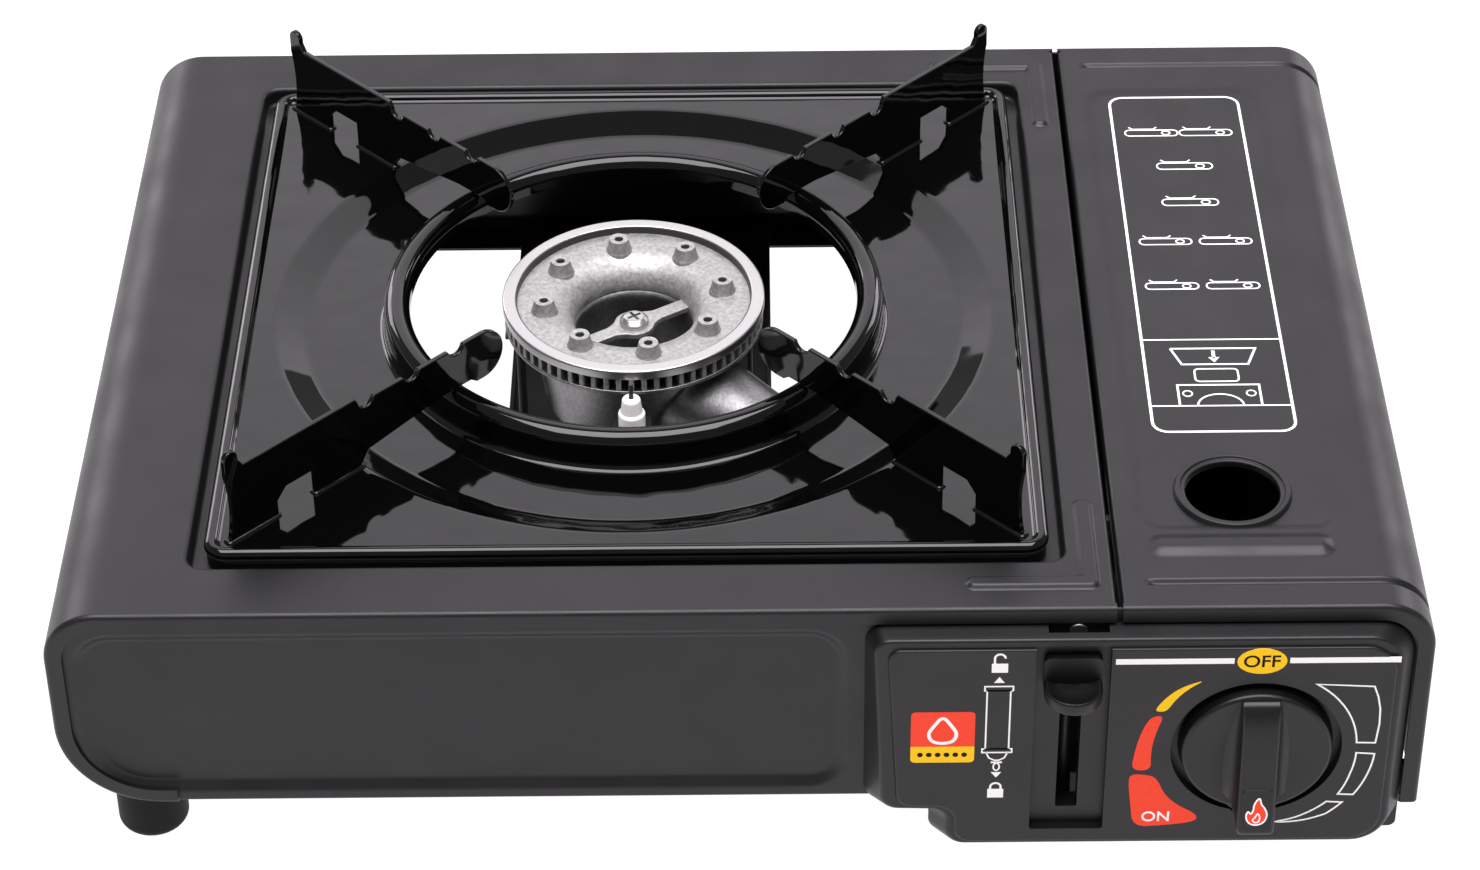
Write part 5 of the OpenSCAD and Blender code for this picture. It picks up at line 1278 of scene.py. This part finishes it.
tooth_box = box_outline(TOOTH_IN, -TOOTH_HALF, 0.0, TOOTH_HALF)
tooth_outline = rounded(tooth_box, [0, TOOTH_R, TOOTH_R, 0], 3, True)
teeth = build("burner_teeth", tower(tooth_outline, SKIRT_Z, TOOTH_TOP))
repeat(teeth, TOOTH_COUNT, TOOTH_RING, 0.0, 0, CAST)
piece(teeth, "case", "burner_casting")
# Painted shade: a black ring just inside the teeth shows as the dark behind the flame slots
burner_ring("burner_slot_shade", box_outline(SLOT_SHADE_IN, SKIRT_Z, SLOT_SHADE_OUT, SLOT_SHADE_TOP), BOWL_SIDES, mat=BLACK_INK_AND_SHADE)

join = math.asin((BAR_HALF + 1.2) / HUB_R)
half_hub = [(BAR_END, -BAR_HALF), (BAR_END, BAR_HALF), (HUB_R + 1.8, BAR_HALF),
            (HUB_R + 0.3, BAR_HALF + 0.5)]
half_hub += arc(0, 0, HUB_R, join, math.pi - join, 14)
half_hub += [(-HUB_R - 0.3, BAR_HALF + 0.5), (-HUB_R - 1.8, BAR_HALF)]
hub_outline = [turned(u, v, side + BRIDGE_TURN) for side in (0, math.pi) for u, v in half_hub]
bridge = build("burner_bridge", tower(hub_outline, BRIDGE_LOW, BRIDGE_TOP))
soften(bridge, BRIDGE_ROUND, 3)
piece(bridge, "case", "burner_casting")


# Screw with a cross recess

SCREW_R, SCREW_LOW, SCREW_TURN, CROSS_LOW = 3.9, THROAT_LOW + 0.6, 0.6, THROAT_LOW + 1.8
CROSS = box_outline(-2.0, -0.42, 2.0, 0.42)

screw_profile = rounded([(CENTRE_R, SCREW_LOW + 2.3), (2.6, SCREW_LOW + 2.2), (SCREW_R, SCREW_LOW + 1.0),
                         (SCREW_R, SCREW_LOW), (CENTRE_R, SCREW_LOW)], [0, 1.5, 0.6, 0.1, 0], 5)
screw = build("burner_screw_head", revolve(screw_profile, 48, False, AXIS))
with editing(screw) as bm:
    bmesh.ops.holes_fill(bm, edges=bm.edges)
    bmesh.ops.recalc_face_normals(bm, faces=bm.faces)
for turn in (SCREW_TURN, SCREW_TURN + math.pi / 2):
    cut(screw, tower([turned(u, v, turn) for u, v in CROSS], CROSS_LOW, CROSS_LOW + OVER))
piece(screw, "case", "plated_steel", "burner_screw")


# Bowl with the mixing tube that flares out of it: distances from the axis and radii of the tube

COLLAR_STEP_Z = corners("burner_bracket")[1][2]
COLLAR_LOW, COLLAR_IN = COLLAR_STEP_Z - 0.8, 27.0
BOWL_LOW, BOWL_IN, BOWL_SEAT, BOWL_TOP = TUBE_Z - 12.0, 15.5, 18.6, COLLAR_STEP_Z - 0.1
TUBE = ((19.5, 15.0), (24, 14.2), (29, 13.3), (36, 12.0), (45, 10.7), (55, 9.7), (64, 9.1), (80, 9.0),
        (114.0, 9.0))
TUBE_TURN, TUBE_SQUASH, TUBE_SIDES = math.radians(-40.0), 0.93, 48
VOXEL, SMOOTH_FACTOR, SMOOTH_ROUNDS, BOWL_CREASE = 0.9, 0.5, 14, 60

bowl_profile = rounded([(BOWL_IN, BOWL_LOW), (24.0, BOWL_LOW), (28.0, BOWL_TOP), (BOWL_SEAT, BOWL_TOP),
                        (BOWL_SEAT, THROAT_LOW), (BOWL_IN, THROAT_LOW)], [1, 5, 0, 0, 0.4, 0.8], 6, True)
bowl = build("burner_bowl", revolve(bowl_profile, BOWL_SIDES, centre=AXIS))
tube_rings = []
for along, reach in TUBE:
    section = ellipse(0, TUBE_Z, reach, reach * TUBE_SQUASH, TUBE_SIDES)
    tube_rings.append([(*turned(along, across, TUBE_TURN), z) for across, z in section])
cut(bowl, loft(tube_rings, caps=True), "UNION")
remesh = bowl.modifiers.new("even", "REMESH")
remesh.mode = "VOXEL"
remesh.voxel_size = VOXEL * MM
apply(bowl)
smooth = bowl.modifiers.new("blend", "SMOOTH")
smooth.factor = SMOOTH_FACTOR
smooth.iterations = SMOOTH_ROUNDS
apply(bowl)
piece(bowl, "case", "burner_casting", "burner_body", mat=BOWL, limit=BOWL_CREASE)
collar_section = rounded([(COLLAR_IN, COLLAR_LOW), (28.6, COLLAR_LOW), (30.0, COLLAR_STEP_Z),
                          (HEAD_R - 0.4, COLLAR_STEP_Z), (HEAD_R - 0.4, SKIRT_Z), (COLLAR_IN, SKIRT_Z)],
                         [0, 1, 0.8, 0.5, 0.3, 0], 4, True)
burner_ring("burner_flange", collar_section, FACE_SIDES, mat=BOWL)


# Igniter: radii and heights above its low end

IGNITER = [(0.7, 0), (2.8, 0), (2.8, 9.0), (3.6, 9.0), (3.6, 14.0), (2.9, 14.2), (2.4, 18.6), (0.7, 18.6)]
IGNITER_BENDS = [0, 0.3, 0, 0.4, 0.9, 0.3, 0.9, 0]
IGNITER_AT = [span("igniter_ceramic", axis)[0] for axis in (0, 1)]
IGNITER_LOW = corners("igniter_ceramic")[0][2]

igniter_profile = rounded([(r, IGNITER_LOW + rise) for r, rise in IGNITER], IGNITER_BENDS, 5, True)
ceramic = build("igniter_body", revolve(igniter_profile, 48, centre=IGNITER_AT))
piece(ceramic, "case", "ceramic", "igniter_ceramic")


# Pieces that keep the CAD form with eased edges, and the width of the easing

EASED = {
    "bay_tray": 0.25, "burner_bracket": 0.3, "igniter_bracket": 0.25, "panel_screw": 0.4,
    "canister_carrier": 0.25, "lever_slider": 0.4, "regulator_body": 0.6, "regulator_cover": 0.4,
    "piezo_unit": 0.5, "canister_socket": 0.3, "lever_guide": 0.25, "front_left_foot": 0.5,
    "rear_left_foot": 0.5, "front_right_foot": 0.4, "rear_right_foot": 0.4,
}
for node_name, width in EASED.items():
    eased = soft_copy(node_name, node_name + "_eased", width)
    piece(eased, BODY_OF[node_name], SLOT_OF[node_name], node_name)


# Floor, light and camera, in metres

FLOOR_REACH, SKY = (-4.0, 4.0), 0.3
EYE = Vector((0.00578, -0.8719, 0.7137))
ELEVATION, AZIMUTH, ROLL = math.radians(37.689), math.radians(-0.368), math.radians(-0.729)
SENSOR, FOCAL_PX, PHOTO_PX = 36, 4032.6, 1480

floor = build("floor", loft([[(x / MM, y / MM, 0) for x in FLOOR_REACH] for y in FLOOR_REACH], closed=False))
paint(floor, GROUND)

scene = bpy.context.scene
world = bpy.data.worlds.new("studio")
world.use_nodes = True
sky = world.node_tree.nodes["Background"].inputs
sky["Color"].default_value = (*LIGHT, 1)
sky["Strength"].default_value = SKY
scene.world = world
scene.view_settings.view_transform = "Standard"


def area_light(name, at, target, size, power):
    data = bpy.data.lights.new(name, "AREA")
    data.shape = "RECTANGLE"
    data.size, data.size_y = size
    data.energy = power
    data.color = LIGHT
    ob = link(name, data)
    ob.location = Vector(at)
    ob.rotation_euler = (Vector(target) - Vector(at)).to_track_quat("-Z", "Y").to_euler()


area_light("overhead", (0.0, -0.25, 1.6), (0, 0, 0), (1.6, 1.2), 50)
area_light("back_panel", (-0.1, 1.3, 1.15), (0, 0, 0), (2.0, 1.1), 10.5)
area_light("left_panel", (-1.05, 1.15, 0.5), (-0.15, 0, 0.05), (0.6, 0.5), 4.5)
area_light("right_panel", (1.1, 1.15, 0.5), (0.15, 0, 0.05), (0.6, 0.5), 4)

forward = Vector((math.sin(AZIMUTH) * math.cos(ELEVATION), math.cos(AZIMUTH) * math.cos(ELEVATION),
                  -math.sin(ELEVATION)))
level = Vector((math.cos(AZIMUTH), -math.sin(AZIMUTH), 0))
upright = level.cross(forward)
right = math.cos(ROLL) * level + math.sin(ROLL) * upright
up = math.cos(ROLL) * upright - math.sin(ROLL) * level
camera_data = bpy.data.cameras.new("camera")
camera_data.sensor_width = SENSOR
camera_data.lens = FOCAL_PX / PHOTO_PX * SENSOR
camera = link("camera", camera_data)
camera.matrix_world = Matrix.Translation(EYE) @ Matrix((right, up, -forward)).transposed().to_4x4()
scene.camera = camera
